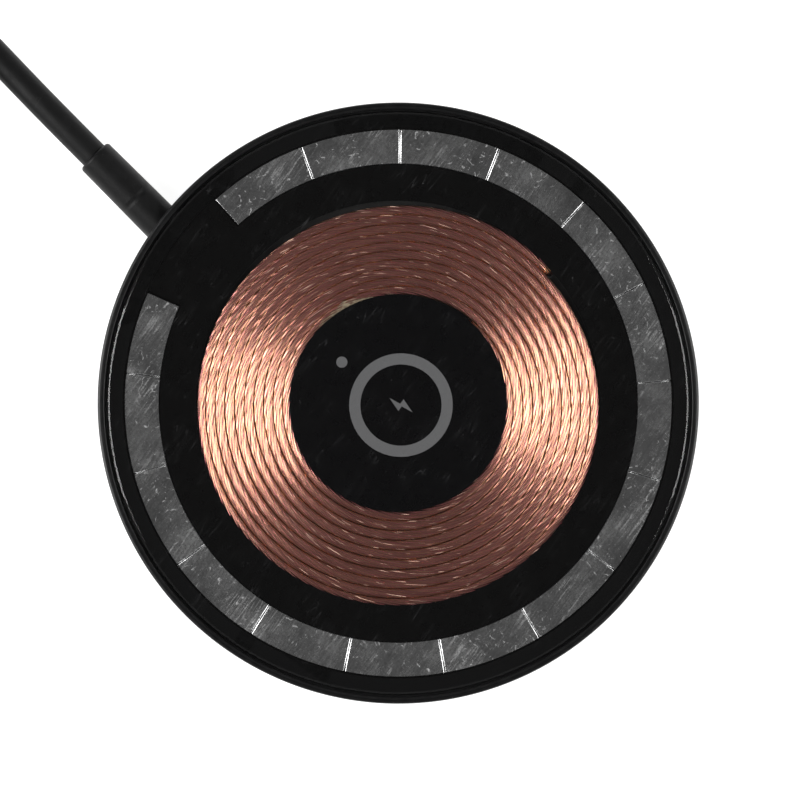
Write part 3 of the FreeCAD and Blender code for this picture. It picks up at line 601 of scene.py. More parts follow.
def chip_resin():
    """Moulded black resin of a chip, unmarked."""
    made = Finish("chip_resin", (0.02, 0.02, 0.021), 0.55)
    made.raise_by(made.noise(12.0, 3.0), 0.008)
    made.colour_from(made.noise(3.0, 2.0), (0.016, 0.016, 0.017), (0.028, 0.028, 0.029))
    return made.material


def fired_ceramic():
    """Fawn ceramic of the small capacitors."""
    made = Finish("fired_ceramic", (0.42, 0.3, 0.17), 0.45)
    made.colour_from(made.noise(2.0, 2.0), (0.36, 0.24, 0.13), (0.48, 0.36, 0.22))
    made.raise_by(made.noise(10.0, 2.0), 0.004)
    return made.material


def crystal_can():
    """Drawn metal can with a patchy gloss."""
    made = Finish("crystal_can", (0.7, 0.69, 0.66), 0.25, Metallic=1.0)
    made.roughness_from(made.noise(4.0, 2.0), 0.3, 0.7, 0.18, 0.36)
    return made.material


def bright_solder():
    """Solder that has run and set, a little lumpy."""
    made = Finish("bright_solder", (0.72, 0.72, 0.73), 0.22, Metallic=1.0)
    made.raise_by(made.noise(5.0, 2.0), 0.03)
    return made.material


def core_sleeve(name, colour):
    """The coloured sleeve of one core of the lead."""
    made = Finish(name, colour, 0.4)
    dull = tuple(value * 0.8 for value in colour)
    made.colour_from(made.noise(3.0, 2.0), dull, colour)
    made.raise_by(made.noise(6.0, 2.0), 0.004)
    return made.material


def lead_jacket():
    """Matt black elastomer with fine drag marks and lint."""
    colour = tuple(bpy.context.scene.pad_lead.colour)
    return moulded_black("lead_jacket", colour, 0.5, 5.0, 0.016, 0.3).material


def relief_elastomer():
    """Matt black elastomer with a coarse grain and a faint seam across the sleeve."""
    made = moulded_black("relief_elastomer", (0.005, 0.005, 0.0051), 0.46, 5.0, 0.02)
    tip, direction = outlet()
    along = made.node(
        "VectorMath", made.place, tuple(direction), settings={"operation": "DOT_PRODUCT"}
    ).outputs["Value"]
    seam = tip.dot(direction) / MM - 6.0
    off_seam = made.math("ABSOLUTE", made.math("SUBTRACT", along, seam))
    made.raise_by(made.step(off_seam, 0.05, 0.35), 0.035)
    return made.material


def tie_plastic():
    return moulded_black("tie_plastic", (0.014, 0.014, 0.015), 0.5, 6.0, 0.004).material


def plug_plastic():
    return moulded_black("plug_plastic", (0.012, 0.012, 0.0125), 0.48, 10.0, 0.006).material


def plug_steel():
    """Drawn steel, with fine lines along the shell."""
    made = Finish("plug_steel", (0.62, 0.62, 0.63), 0.28, Metallic=1.0)
    lines = made.noise(1.0, 3.0, 0.6, 0.0, made.stretched(0, 0.3, 9.0))
    made.roughness_from(lines, 0.3, 0.7, 0.2, 0.38)
    made.raise_by(lines, 0.004)
    return made.material


def contact_gold():
    """Gold plating, rubbed in places."""
    made = Finish("contact_gold", (0.83, 0.6, 0.22), 0.25, Metallic=1.0)
    made.roughness_from(made.noise(6.0, 2.0), 0.3, 0.7, 0.18, 0.34)
    return made.material


SLEEVES = {
    "red_sleeve": (0.5, 0.02, 0.02),
    "black_sleeve": (0.02, 0.02, 0.02),
    "green_sleeve": (0.02, 0.28, 0.07),
    "white_sleeve": (0.75, 0.75, 0.72),
}

FINISH_MAKERS = {
    maker.__name__: maker
    for maker in (
        case_plastic, carrier_plastic, adhesive_black, foot_silicone, clear_pane, magnet_plating,
        zinc_strip, copper_wire, dark_ferrite, shield_foil, amber_film, pale_glue, dull_film,
        black_foam, disc_film, printed_ink, board_mask, chip_resin, fired_ceramic, crystal_can,
        bright_solder, lead_jacket, relief_elastomer, tie_plastic, plug_plastic, plug_steel,
        contact_gold,
    )
}


# Shapes


def new_piece(name, vertices, faces):
    """A mesh object at the origin, in the scene."""
    mesh = bpy.data.meshes.new(name)
    mesh.from_pydata([tuple(v) for v in vertices], [], faces)
    mesh.validate()
    piece = bpy.data.objects.new(name, mesh)
    bpy.context.scene.collection.objects.link(piece)
    return piece


def smooth(piece, sharp_angle=32):
    """Smooth shading, with the edges kept sharp where the surface turns more than the angle."""
    piece.data.shade_smooth()
    piece.data.set_sharp_from_angle(angle=math.radians(sharp_angle))


def eased(corners, steps=5):
    """A closed outline from (x, y, ease) corners, each rounded to the radius ease."""
    outline = []
    for i, (x, y, ease) in enumerate(corners):
        here = Vector((x, y))
        if not ease:
            outline.append(here)
            continue
        back = (Vector(corners[i - 1][:2]) - here).normalized()
        ahead = (Vector(corners[(i + 1) % len(corners)][:2]) - here).normalized()
        half = back.angle(ahead) / 2
        centre = here + (back + ahead).normalized() * (ease / math.sin(half))
        first = here + back * (ease / math.tan(half)) - centre
        sweep = first.angle_signed(here + ahead * (ease / math.tan(half)) - centre)
        for step in range(steps + 1):
            turn = Matrix.Rotation(-sweep * step / steps, 2)
            outline.append(centre + turn @ first)
    return outline


def turned(name, outline, segments=256):
    """A closed piece turned about Z from an anticlockwise outline of (radius, height)."""
    vertices, rings = [], []
    for radius, height in outline:
        if radius < NOTHING:
            rings.append([len(vertices)] * segments)
            vertices.append((0, 0, height))
            continue
        rings.append([len(vertices) + i for i in range(segments)])
        for i in range(segments):
            turn = 2 * math.pi * i / segments
            vertices.append((radius * math.cos(turn), radius * math.sin(turn), height))
    faces = []
    for first, second in zip(rings, rings[1:] + rings[:1]):
        for i in range(segments):
            j = (i + 1) % segments
            corners = [first[i], first[j], second[j], second[i]]
            distinct = [c for k, c in enumerate(corners) if c != corners[k - 1]]
            if len(distinct) > 2:
                faces.append(distinct)
    return new_piece(name, vertices, faces)


def arc_block(name, low, high, angles, ease, steps=5, sections=40):
    """A block bent about Z, rounded over its top at both ends.

    low and high are its corners, as (radius, height), and angles are where it starts and stops."""
    first, last = angles
    middle = (low[0] + high[0]) / 2
    ends = []
    for step in range(steps + 1):
        turn = math.pi / 2 * step / steps
        shift = ease * (1 - math.cos(turn)) / middle
        ends.append((shift, ease * (1 - math.sin(turn))))
    stations = [(first + shift, drop) for shift, drop in ends]
    span = last - first
    stations += [(first + span * step / sections, 0.0) for step in range(1, sections)]
    stations += [(last - shift, drop) for shift, drop in reversed(ends)]
    edge = 0.02 * MM
    vertices = []
    for angle, drop in stations:
        top = high[1] - drop
        outline = [
            (low[0], low[1]),
            (high[0], low[1]),
            (high[0], top - edge),
            (high[0] - edge, top),
            (low[0] + edge, top),
            (low[0], top - edge),
        ]
        for radius, height in outline:
            vertices.append((radius * math.cos(angle), radius * math.sin(angle), height))
    around = 6
    faces = [list(range(around)), [len(vertices) - 1 - i for i in range(around)]]
    for i in range(len(stations) - 1):
        for j in range(around):
            k = (j + 1) % around
            faces.append(
                [i * around + j, (i + 1) * around + j, (i + 1) * around + k, i * around + k]
            )
    return joined_up(new_piece(name, vertices, faces))


def joined_up(piece):
    """Joins corners that coincide, drops faces that this closes, and turns faces outwards."""
    work = bmesh.new()
    work.from_mesh(piece.data)
    bmesh.ops.remove_doubles(work, verts=work.verts, dist=1e-7)
    bmesh.ops.recalc_face_normals(work, faces=work.faces)
    work.to_mesh(piece.data)
    work.free()
    return piece


def cad_copy(node, name):
    """A copy of a CAD node's mesh with its corners joined, so that it can be shaded smooth."""
    source = frame["nodes"][node].data
    faces = [tuple(face.vertices) for face in source.polygons]
    piece = joined_up(new_piece(name, [v.co for v in source.vertices], faces))
    smooth(piece)
    return piece


def dress(piece, finish_name):
    """Gives a piece or a CAD node one finish all over."""
    piece.data.materials.clear()
    piece.data.materials.append(finish(finish_name))


def place_piece(piece, slot, *nodes):
    """Makes a piece stand for CAD nodes, riding on the pad."""
    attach(piece, BODY)
    if nodes:
        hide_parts(*nodes)


# Where the lead comes out and lies


def outlet():
    """The tip of the strain relief, and the way that it points."""
    settings = bpy.context.scene.pad_lead
    root = level_direction(settings.exit_angle) * radius_of("lower_case")
    direction = level_direction(settings.relief_angle)
    return root + UP * settings.exit_height + direction * settings.relief_length, direction


# The lead's points past the strain relief, in mm: down to the table and along it
LEAD_RUN = [(3.15, 45.09, 2.75), (4.3, 51.48, 1.87), (5.46, 57.83, 1.87)]


# Operators


class PadOperator(bpy.types.Operator):
    """Shared by the operators that build the pad."""

    bl_options = {"REGISTER"}

    def execute(self, context):
        self.build(context.scene)
        return {"FINISHED"}


class PAD_OT_case(PadOperator):
    """Build the black case with its lip, and the foot ring under it"""

    bl_idname = "pad.case"
    bl_label = "Case and Foot"

    def build(self, scene):
        settings = scene.pad_case
        radius = radius_of("lower_case")
        low, high = bottom_of("lower_case"), top_of("lower_case")
        foot_low, foot_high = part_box("anti_slip_foot")
        sunk = 0.15 * MM
        ledge = top_of("window_adhesive_ring") - sunk
        lip_inner = radius - settings.wall
        wall_inner = radius_of("magnet_carrier") + 0.1 * MM
        shelf = bottom_of("magnet_carrier") - 0.03 * MM
        cavity = wall_inner - 1.2 * MM
        floor = low + settings.floor
        groove = foot_high.z + settings.foot_gap
        groove_outer = foot_high.x + settings.foot_gap
        groove_inner = groove_outer - settings.foot_width
        bead = settings.bead
        lip_middle = (lip_inner + radius) / 2 - 0.02 * MM
        corners = [
            (0, low, 0),
            (groove_inner, low, 0.06 * MM),
            (groove_inner, groove, 0),
            (groove_outer, groove, 0),
            (groove_outer, low, 0.06 * MM),
            (radius, low, settings.base_rounding),
            (radius, high, settings.lip_rounding),
            (lip_middle + bead, high, 0),
            (lip_middle, high - bead, 0),
            (lip_middle - bead, high, 0),
            (lip_inner, high, 0.07 * MM),
            (lip_inner, ledge, 0),
            (wall_inner, ledge, 0.03 * MM),
            (wall_inner, shelf, 0),
            (cavity, shelf, 0.05 * MM),
            (cavity, floor, 0.3 * MM),
            (0, floor, 0),
        ]
        case = turned("case_shell", eased(corners), 360)
        smooth(case)
        dress(case, "case_plastic")
        place_piece(case, "black_case_plastic", "lower_case")

        foot_inner = groove_inner + settings.foot_gap
        foot_corners = [
            (foot_inner, foot_low.z, 0.15 * MM),
            (foot_high.x, foot_low.z, 0.15 * MM),
            (foot_high.x, foot_high.z, 0.03 * MM),
            (foot_inner, foot_high.z, 0.03 * MM),
        ]
        foot = turned("foot_ring", eased(foot_corners))
        smooth(foot)
        dress(foot, "foot_silicone")
        place_piece(foot, "black_rubber", "anti_slip_foot")
        dress(frame["nodes"]["foot_adhesive_ring"], "adhesive_black")


class PAD_OT_window(PadOperator):
    """Build the clear window with its bevelled rim"""

    bl_idname = "pad.window"
    bl_label = "Window"

    def build(self, scene):
        settings = scene.pad_window
        radius = radius_of("clear_window")
        low, high = bottom_of("clear_window"), top_of("clear_window")
        ease = settings.edge_ease
        corners = [
            (0, low, 0),
            (radius, low, 0.04 * MM),
            (radius, high - settings.bevel_drop, 0.04 * MM),
            (radius - settings.bevel, high, ease),
            (0, high, 0),
        ]
        pane = turned("window_pane", eased(corners), 360)
        smooth(pane, 25)
        dress(pane, "clear_pane")
        place_piece(pane, "clear_plastic", "clear_window")
        dress(frame["nodes"]["window_adhesive_ring"], "adhesive_black")


class PAD_OT_magnets(PadOperator):
    """Build the sixteen magnets, and dress the carrier ring and the steel strip under them"""

    bl_idname = "pad.magnets"
    bl_label = "Magnet Ring"

    def build(self, scene):
        settings = scene.pad_magnets
        dress(frame["nodes"]["magnet_carrier"], "carrier_plastic")
        dress(frame["nodes"]["steel_backing_strip"], "zinc_strip")
        low, high = bottom_of("magnet_01"), top_of("magnet_01")
        outer = max(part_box(f"magnet_{i:02d}")[1].x for i in range(1, settings.count + 1))
        inner = outer - settings.depth
        start = settings.start
        gap = settings.joint / 2
        for i in range(1, settings.count + 1):
            stop = start + (settings.short_span if i == 1 else settings.span)
            angles = (start + gap, stop - gap)
            magnet = arc_block(
                f"plated_magnet_{i:02d}", (inner, low), (outer, high), angles, settings.ease
            )
            smooth(magnet, 40)
            dress(magnet, "magnet_plating")
            place_piece(magnet, "plated_magnet", f"magnet_{i:02d}")
            start = stop


class PAD_OT_winding(PadOperator):
    """Wind the flat coil of stranded copper wire"""

    bl_idname = "pad.winding"
    bl_label = "Winding"

    def path(self, settings):
        """Points of the wire's middle: down at the outer end, round and in, and down inside."""
        height = top_of("charging_coil") - settings.wire / 2
        bottom = bottom_of("charging_coil")
        outer_lean = level_direction(settings.lean_angle) * settings.lean
        inner_lean = level_direction(settings.inner_lean_angle) * settings.inner_lean
        steps = 96
        points = []
        for i in range(settings.turns * steps + 1):
            turns = i / steps
            share = turns / settings.turns
            angle = settings.start + 2 * math.pi * turns
            radius = settings.outer_radius - settings.pitch * turns
            lean = outer_lean.lerp(inner_lean, share)
            radius += settings.oval * (1 - share) * math.cos(2 * (angle - settings.oval_angle))
            wander = (0.012 * math.sin(7.3 * angle + 1.1) + 0.01 * math.sin(3.1 * angle)) * MM
            points.append(level_direction(angle) * (radius + wander) + lean + UP * height)
        return (
            self.dive(points[0], points[0] - points[1], bottom)[::-1]
            + points
            + self.dive(points[-1], points[-1] - points[-2], bottom)
        )

    def dive(self, end, heading, bottom):
        """Points of a bend down from the end of the winding to the board."""
        heading = heading.normalized()
        bend = 0.8 * MM
        points = []
        for step in range(1, 7):
            turn = math.radians(15 * step)
            ahead = heading * (bend * math.sin(turn))
            points.append(end + ahead - UP * (bend * (1 - math.cos(turn))))
        points.append(Vector((points[-1].x, points[-1].y, bottom)))
        return points

    def tree(self):
        """Geometry nodes that lay twisted strands along a curve."""
        tree = bpy.data.node_groups.new("stranded_wire", "GeometryNodeTree")
        sides = tree.interface
        sides.new_socket("Geometry", in_out="INPUT", socket_type="NodeSocketGeometry")
        self.sockets = {}
        for label, kind in (
            ("Wire Radius", "Float"),
            ("Strands", "Int"),
            ("Lay", "Float"),
            ("Sections", "Int"),
            ("Unevenness", "Float"),
            ("Squareness", "Float"),
        ):
            socket = sides.new_socket(label, in_out="INPUT", socket_type=f"NodeSocket{kind}")
            self.sockets[label] = socket.identifier
        sides.new_socket("Geometry", in_out="OUTPUT", socket_type="NodeSocketGeometry")
        net = Net(tree, "GeometryNode")
        given = tree.nodes.new("NodeGroupInput").outputs
        strands = given["Strands"]
        unit = net.node(
            "CurvePrimitiveCircle", net.math("MULTIPLY", strands, 4.0), settings={"mode": "RADIUS"}
        )
        net.put(unit.inputs["Radius"], 1.0)
        spot = net.node("InputPosition").outputs[0]
        marked = net.node(
            "StoreNamedAttribute",
            unit.outputs[0],
            settings={"data_type": "FLOAT_VECTOR", "domain": "POINT"},
            Name="around",
            Value=spot,
        )
        profile = net.node(
            "SetPosition", marked.outputs[0], Position=net.times(spot, self.lobes(net, given, spot))
        )
        length = net.node("SplineParameter").outputs["Length"]
        even = net.node("ResampleCurve", given["Geometry"])
        net.put(even.inputs["Count"], given["Sections"])
        measured = net.node(
            "StoreNamedAttribute",
            even.outputs[0],
            settings={"data_type": "FLOAT", "domain": "POINT"},
            Name="along",
            Value=length,
        )
        measured = net.node(
            "StoreNamedAttribute",
            measured.outputs[0],
            settings={"data_type": "FLOAT_VECTOR", "domain": "POINT"},
            Name="middle",
            Value=spot,
        )
        upright = net.node("SetCurveNormal", measured.outputs[0])
        turn = net.math("MULTIPLY", net.math("DIVIDE", length, given["Lay"]), 2 * math.pi)
        twisted = net.node("SetCurveTilt", upright.outputs[0], Tilt=turn)
        wire = net.node("CurveToMesh", twisted.outputs[0], profile.outputs[0], Fill_Caps=True)
        wire = net.node("SetPosition", wire.outputs[0], Offset=self.packing(net, given, spot))
        bumps = 0.45 / MM
        rough = net.node("ShaderNodeTexNoise", Vector=spot, Scale=bumps, Detail=1.0).outputs[0]
        swell = net.math("MULTIPLY", net.math("SUBTRACT", rough, 0.5), given["Unevenness"])
        normal = net.node("InputNormal").outputs[0]
        uneven = net.node("SetPosition", wire.outputs[0], Offset=net.times(normal, swell))
        faced = net.node(
            "StoreNamedAttribute",
            uneven.outputs[0],
            settings={"data_type": "FLOAT", "domain": "POINT"},
            Name="upward",
            Value=net.node("ShaderNodeSeparateXYZ", normal).outputs[2],
        )
        soft = net.node("SetShadeSmooth", faced.outputs[0])
        real = net.node("RealizeInstances", soft.outputs[0])
        dressed = net.node("SetMaterial", real.outputs[0], Material=finish("copper_wire"))
        out = tree.nodes.new("NodeGroupOutput")
        tree.links.new(dressed.outputs[0], out.inputs[0])
        return tree

    def packing(self, net, given, spot):
        """Moves the wire's surface out at its corners, as turns that are pressed together."""
        squareness = given["Squareness"]
        middle = net.node(
            "InputNamedAttribute", settings={"data_type": "FLOAT_VECTOR"}, Name="middle"
        ).outputs["Attribute"]
        out = net.node("ShaderNodeVectorMath", spot, middle, settings={"operation": "SUBTRACT"})
        reach = net.node("ShaderNodeVectorMath", out.outputs[0], settings={"operation": "LENGTH"})
        rise = net.node("ShaderNodeSeparateXYZ", out.outputs[0]).outputs[2]
        share = net.math("ABSOLUTE", net.math("DIVIDE", rise, reach.outputs["Value"]))
        rest = net.math("SUBTRACT", 1.0, net.math("POWER", share, 2.0))
        flat = net.math("SQRT", net.math("MAXIMUM", rest, 0.0))
        share, flat = (net.math("POWER", part, squareness) for part in (share, flat))
        total = net.math("ADD", share, flat)
        root = net.math("DIVIDE", -1.0, squareness)
        grow = net.math("SUBTRACT", net.math("POWER", total, root), 1.0)
        return net.times(out.outputs[0], grow)

    def lobes(self, net, given, spot):
        """How far the profile stands out at a point of the unit circle: one bulge per strand."""
        strands, radius = given["Strands"], given["Wire Radius"]
        parts = net.node("ShaderNodeSeparateXYZ", spot).outputs
        angle = net.math("ARCTAN2", parts[1], parts[0])
        half = net.math("DIVIDE", math.pi, strands)
        cell = net.math("DIVIDE", angle, net.math("MULTIPLY", half, 2.0))
        inside = net.math("SUBTRACT", net.math("FRACT", net.math("ADD", cell, 0.0001)), 0.5)
        off = net.math("MULTIPLY", inside, net.math("MULTIPLY", half, 2.0))
        wave = net.math("SINE", half)
        strand = net.math(
            "DIVIDE", net.math("MULTIPLY", radius, wave), net.math("ADD", wave, 1.0)
        )
        middle = net.math("SUBTRACT", radius, strand)
        side = net.math("MULTIPLY", middle, net.math("SINE", off))
        room = net.math(
            "SUBTRACT", net.math("POWER", strand, 2.0), net.math("POWER", side, 2.0)
        )
        bulge = net.math("SQRT", net.math("MAXIMUM", room, 0.0))
        return net.math("ADD", net.math("MULTIPLY", middle, net.math("COSINE", off)), bulge)

    def build(self, scene):
        settings = scene.pad_winding
        curve = bpy.data.curves.new("winding_path", "CURVE")
        curve.dimensions = "3D"
        spline = curve.splines.new("POLY")
        points = self.path(settings)
        spline.points.add(len(points) - 1)
        for point, place in zip(spline.points, points):
            point.co = (*place, 1)
        path = bpy.data.objects.new("winding_path", curve)
        scene.collection.objects.link(path)
        modifier = path.modifiers.new("strands", "NODES")
        modifier.node_group = self.tree()
        values = {
            "Wire Radius": settings.wire / 2,
            "Strands": settings.strands,
            "Lay": settings.lay,
            "Sections": settings.sections,
            "Unevenness": settings.unevenness,
            "Squareness": settings.squareness,
        }
        for label, value in values.items():
            modifier[self.sockets[label]] = value
        graph = bpy.context.evaluated_depsgraph_get()
        mesh = bpy.data.meshes.new_from_object(path.evaluated_get(graph))
        bpy.data.objects.remove(path)
        wire = bpy.data.objects.new("copper_winding", mesh)
        scene.collection.objects.link(wire)
        place_piece(wire, "enamelled_copper", "charging_coil")


class PAD_OT_glue(PadOperator):
    """Build the dried trace of glue that shows beside the centre disc"""

    bl_idname = "pad.glue"
    bl_label = "Glue Trace"

    def build(self, scene):
        settings = scene.pad_glue
        inner = radius_of("centre_disc") - settings.under_disc
        low = top_of("charging_coil") + settings.rise - settings.thickness
        edge = 0.02 * MM
        steps, across = 60, 6
        upper, lower = [], []
        for i in range(steps + 1):
            share = i / steps
            taper = math.sin(math.pi * share)
            ripple = 1 + 0.12 * math.sin(17 * share) + 0.07 * math.sin(41 * share + 1)
            width = settings.width * taper**0.7 * ripple + edge
            out = level_direction(settings.first + (settings.last - settings.first) * share)
            for j in range(across + 1):
                side = j / across
                spot = out * (inner + width * side)
                dome = settings.crown * math.sin(math.pi * (0.25 + 0.75 * side)) * taper
                upper.append(spot + UP * (low + edge + dome))
                lower.append(spot + UP * low)
        row, total = across + 1, len(upper)
        faces = []
        for i in range(steps):
            for j in range(across):
                a, b = i * row + j, (i + 1) * row + j
                faces.append([a, a + 1, b + 1, b])
                faces.append([total + b, total + b + 1, total + a + 1, total + a])
        rim = list(range(row)) + [i * row + across for i in range(1, steps + 1)]
        rim += [steps * row + j for j in range(across - 1, -1, -1)]
        rim += [i * row for i in range(steps - 1, 0, -1)]
        for a, b in zip(rim, rim[1:] + rim[:1]):
            faces.append([a, total + a, total + b, b])
        trace = joined_up(new_piece("glue_trace", upper + lower, faces))
        smooth(trace, 60)
        dress(trace, "pale_glue")
        place_piece(trace, "clear_adhesive")


class PAD_OT_centre(PadOperator):
    """Build the black disc on the winding's centre and dress the sign printed on it"""

    bl_idname = "pad.centre"
    bl_label = "Centre Disc"

    def build(self, scene):
        radius = radius_of("centre_disc")
        low, high = bottom_of("centre_disc"), top_of("centre_disc")
        corners = [
            (0, low, 0),
            (radius, low, 0.01 * MM),
            (radius, high, 0.045 * MM),
            (0, high, 0),
        ]
        disc = turned("centre_film", eased(corners), 192)
        smooth(disc)
        dress(disc, "disc_film")
        place_piece(disc, "black_label", "centre_disc")
        dress(frame["nodes"]["printed_mark"], "printed_ink")
        dress(frame["nodes"]["centre_spacer"], "black_foam")


class PAD_OT_inside(PadOperator):
    """Dress the flat stack under the winding, the circuit board and its parts"""

    bl_idname = "pad.inside"
    bl_label = "Stack and Board"

    finishes = {
        "coil_adhesive_film": "dull_film",
        "ferrite_disc": "dark_ferrite",
        "aluminium_shield": "shield_foil",
        "insulating_film": "amber_film",
        "circuit_board": "board_mask",
        "controller_chip": "chip_resin",
        "supply_protocol_chip": "chip_resin",
        "power_bridge_chips": "chip_resin",
        "supply_inductor": "dark_ferrite",
        "clock_crystal": "crystal_can",
        "temperature_sensor": "fired_ceramic",
        "resonant_capacitors": "fired_ceramic",
        "bulk_capacitors": "fired_ceramic",
        "small_passives": "fired_ceramic",
        "coil_solder_joints": "bright_solder",
        "core_solder_joints": "bright_solder",
        "red_core": "red_sleeve",
        "black_core": "black_sleeve",
        "green_core": "green_sleeve",
        "white_core": "white_sleeve",
    }

    def build(self, scene):
        for node, name in self.finishes.items():
            dress(frame["nodes"][node], name)


class PAD_OT_outlet(PadOperator):
    """Build the strain relief on the rim and dress the lead's end inside it"""

    bl_idname = "pad.outlet"
    bl_label = "Strain Relief"

    def build(self, scene):
        relief = cad_copy("strain_relief", "relief_sleeve")
        dress(relief, "relief_elastomer")
        place_piece(relief, "relief_elastomer", "strain_relief")
        dress(frame["nodes"]["cable_tail"], "lead_jacket")


# Pieces on the lead, made before it
ON_LEAD = ("lead_ties", "plug_sleeve", "plug_grip", "plug_nose")


class PAD_OT_lead(PadOperator):
    """Lay the lead, with its spare length wound in two layers and tied"""

    bl_idname = "pad.lead"
    bl_label = "Lead"

    def run(self):
        """Control points from the strain relief to the side of the wound turns."""
        return [outlet()[0]] + [Vector(point) * MM for point in LEAD_RUN]

    def wound_place(self, settings):
        """The middle of the wound turns, and the direction from there to where the lead joins."""
        before, end = self.run()[-2:]
        heading = (end - before).normalized()
        left = Vector((-heading.y, heading.x, 0))
        join = end + heading * settings.stub
        outer = settings.mean_radius + 2 * settings.spacing
        return Vector((join.x, join.y, 0)) + left * outer, -left

    def to_plug(self, settings):
        """Control points from the top layer's last turn to the plug, which points along -X.

        The lead leaves the turn at a tangent and bends left in equal steps, climbing on the way."""
        step, bends = 8.6 * MM, 4
        first_heading, bend = math.radians(60), math.radians(30)
        level = settings.tie_thickness + 1.5 * settings.spacing
        plug_axis = (bottom_of("plug_overmould") + top_of("plug_overmould")) / 2
        last_turn = settings.mean_radius + 1.5 * settings.spacing
        centre, _ = self.wound_place(settings)
        touch = centre + level_direction(first_heading - math.pi / 2) * last_turn
        points = [touch - level_direction(first_heading) * (step / 2) + UP * level]
        for number in range(bends + 1):
            place = points[-1] + level_direction(first_heading + bend * number) * step
            place.z = min(plug_axis, level + (number + 1) * (plug_axis - level) / bends)
            points.append(place)
        return points

    def turns(self, settings):
        """Control points of the wound turns: five below going inwards, four on top going out.

        Each turn is a circle that steps to the next one in the same short stretch, just before
        the angle where the lead joins the outer turn."""
        spacing, mean = settings.spacing, settings.mean_radius
        outer = mean + 2 * spacing
        centre, joins = self.wound_place(settings)
        start = math.atan2(joins.y, joins.x)
        count = settings.points
        pulled_in = 0.75 + 0.25 * math.cos(2 * math.pi / count)
        low = self.run()[-1].z
        high = low + spacing
        radii = [outer - spacing * k for k in range(5)]
        radii += [mean + spacing * (k - 1.5) for k in range(4)]
        heights = [low] * 5 + [high] * 4
        points = []
        for turn, (radius, height) in enumerate(zip(radii, heights)):
            last = turn == len(radii) - 1
            for step in range(count):
                here_radius, here_height = radius, height
                if not last and step == count - 1:
                    here_radius = (radius + radii[turn + 1]) / 2
                if turn == 4 and step >= count - 5:
                    here_height = low + spacing * min(1, (step - count + 6) / 4)
                if last and step >= count - 2:
                    break
                angle = start + 2 * math.pi * (step + 0.5) / count
                out = level_direction(angle) * (here_radius / pulled_in)
                points.append(centre + out + UP * here_height)
        return points

    def build(self, scene):
        settings = scene.pad_lead
        route = self.run()
        heading = (route[-1] - route[-2]).normalized()
        straight_on = 7.0 * MM
        route.append(route[-1] + heading * straight_on)
        route += self.turns(settings)
        route += self.to_plug(settings)
        curve = bpy.data.curves.new("lead", "CURVE")
        curve.dimensions = "3D"
        curve.bevel_depth = settings.diameter / 2
        curve.bevel_resolution = 6
        curve.resolution_u = 8
        curve.use_fill_caps = True
        spline = curve.splines.new("NURBS")
        spline.points.add(len(route) - 1)
        for point, place in zip(spline.points, route):
            point.co = (*place, 1)
        spline.order_u = 3
        spline.use_endpoint_u = True
        lead = bpy.data.objects.new("lead", curve)
        scene.collection.objects.link(lead)
        lead.data.materials.append(finish("lead_jacket"))
        place_piece(lead, "cable_jacket", "cord_run", "cord_wound")
        nodes = frame["nodes"]
        on_lead = [nodes[name] for name in ("cable_tail", "plug_insert", "plug_contacts")]
        on_lead += [bpy.data.objects[name] for name in ON_LEAD]


class PAD_OT_ties(PadOperator):
    """Build the two bands that hold the lead's wound turns together"""

    bl_idname = "pad.ties"
    bl_label = "Ties"

    def outline(self, settings, shrink):
        """A closed loop of (radius, height) round the section of the wound turns."""
        reach = 2 * settings.spacing + settings.diameter / 2 + settings.tie_room - shrink
        low, high = bottom_of("cord_ties") + shrink, top_of("cord_ties") - shrink
        foot, crown = 1.4 * MM - shrink, 2.5 * MM - shrink
        inner, outer = settings.mean_radius - reach, settings.mean_radius + reach
        below = [(inner, low, foot), (outer, low, foot)]
        above = [(outer, high, crown), (inner, high, crown)]
        return eased(below + above, 7)

    def build(self, scene):
        settings = scene.pad_lead
        middle = (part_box("cord_ties")[0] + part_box("cord_ties")[1]) / 2
        outer = self.outline(settings, 0)
        inner = self.outline(settings, settings.tie_thickness)
        ease = 0.08 * MM
        half = settings.tie_width / 2
        mid_outer = self.outline(settings, ease)
        mid_inner = self.outline(settings, settings.tie_thickness - ease)
        loops = [
            (outer, half - ease), (mid_outer, half), (mid_inner, half), (inner, half - ease),
            (inner, ease - half), (mid_inner, -half), (mid_outer, -half), (outer, ease - half),
        ]
        vertices, faces = [], []
        count = len(outer)
        for polar in (settings.tie_angle, settings.tie_angle + math.pi):
            out = level_direction(polar)
            side = Vector((-out.y, out.x, 0))
            base = len(vertices)
            for loop, shift in loops:
                for radius, height in loop:
                    spot = Vector((middle.x, middle.y, 0)) + out * radius + side * shift
                    vertices.append(spot + UP * height)
            for i in range(len(loops)):
                here, there = base + i * count, base + (i + 1) % len(loops) * count
                for j in range(count):
                    k = (j + 1) % count
                    faces.append([here + j, here + k, there + k, there + j])
        ties = joined_up(new_piece("lead_ties", vertices, faces))
        smooth(ties)
        dress(ties, "tie_plastic")
        place_piece(ties, "tie_plastic", "cord_ties")


class PAD_OT_plug(PadOperator):
    """Build the plug at the far end of the lead"""

    bl_idname = "pad.plug"
    bl_label = "Plug"

    def build(self, scene):
        for node, name, slot, look in (
            ("plug_strain_relief", "plug_sleeve", "relief_elastomer", "lead_jacket"),
            ("plug_overmould", "plug_grip", "plug_plastic", "plug_plastic"),
            ("plug_shell", "plug_nose", "plug_steel", "plug_steel"),
        ):
            piece = cad_copy(node, name)
            dress(piece, look)
            place_piece(piece, slot, node)
        dress(frame["nodes"]["plug_insert"], "plug_plastic")
        dress(frame["nodes"]["plug_contacts"], "contact_gold")


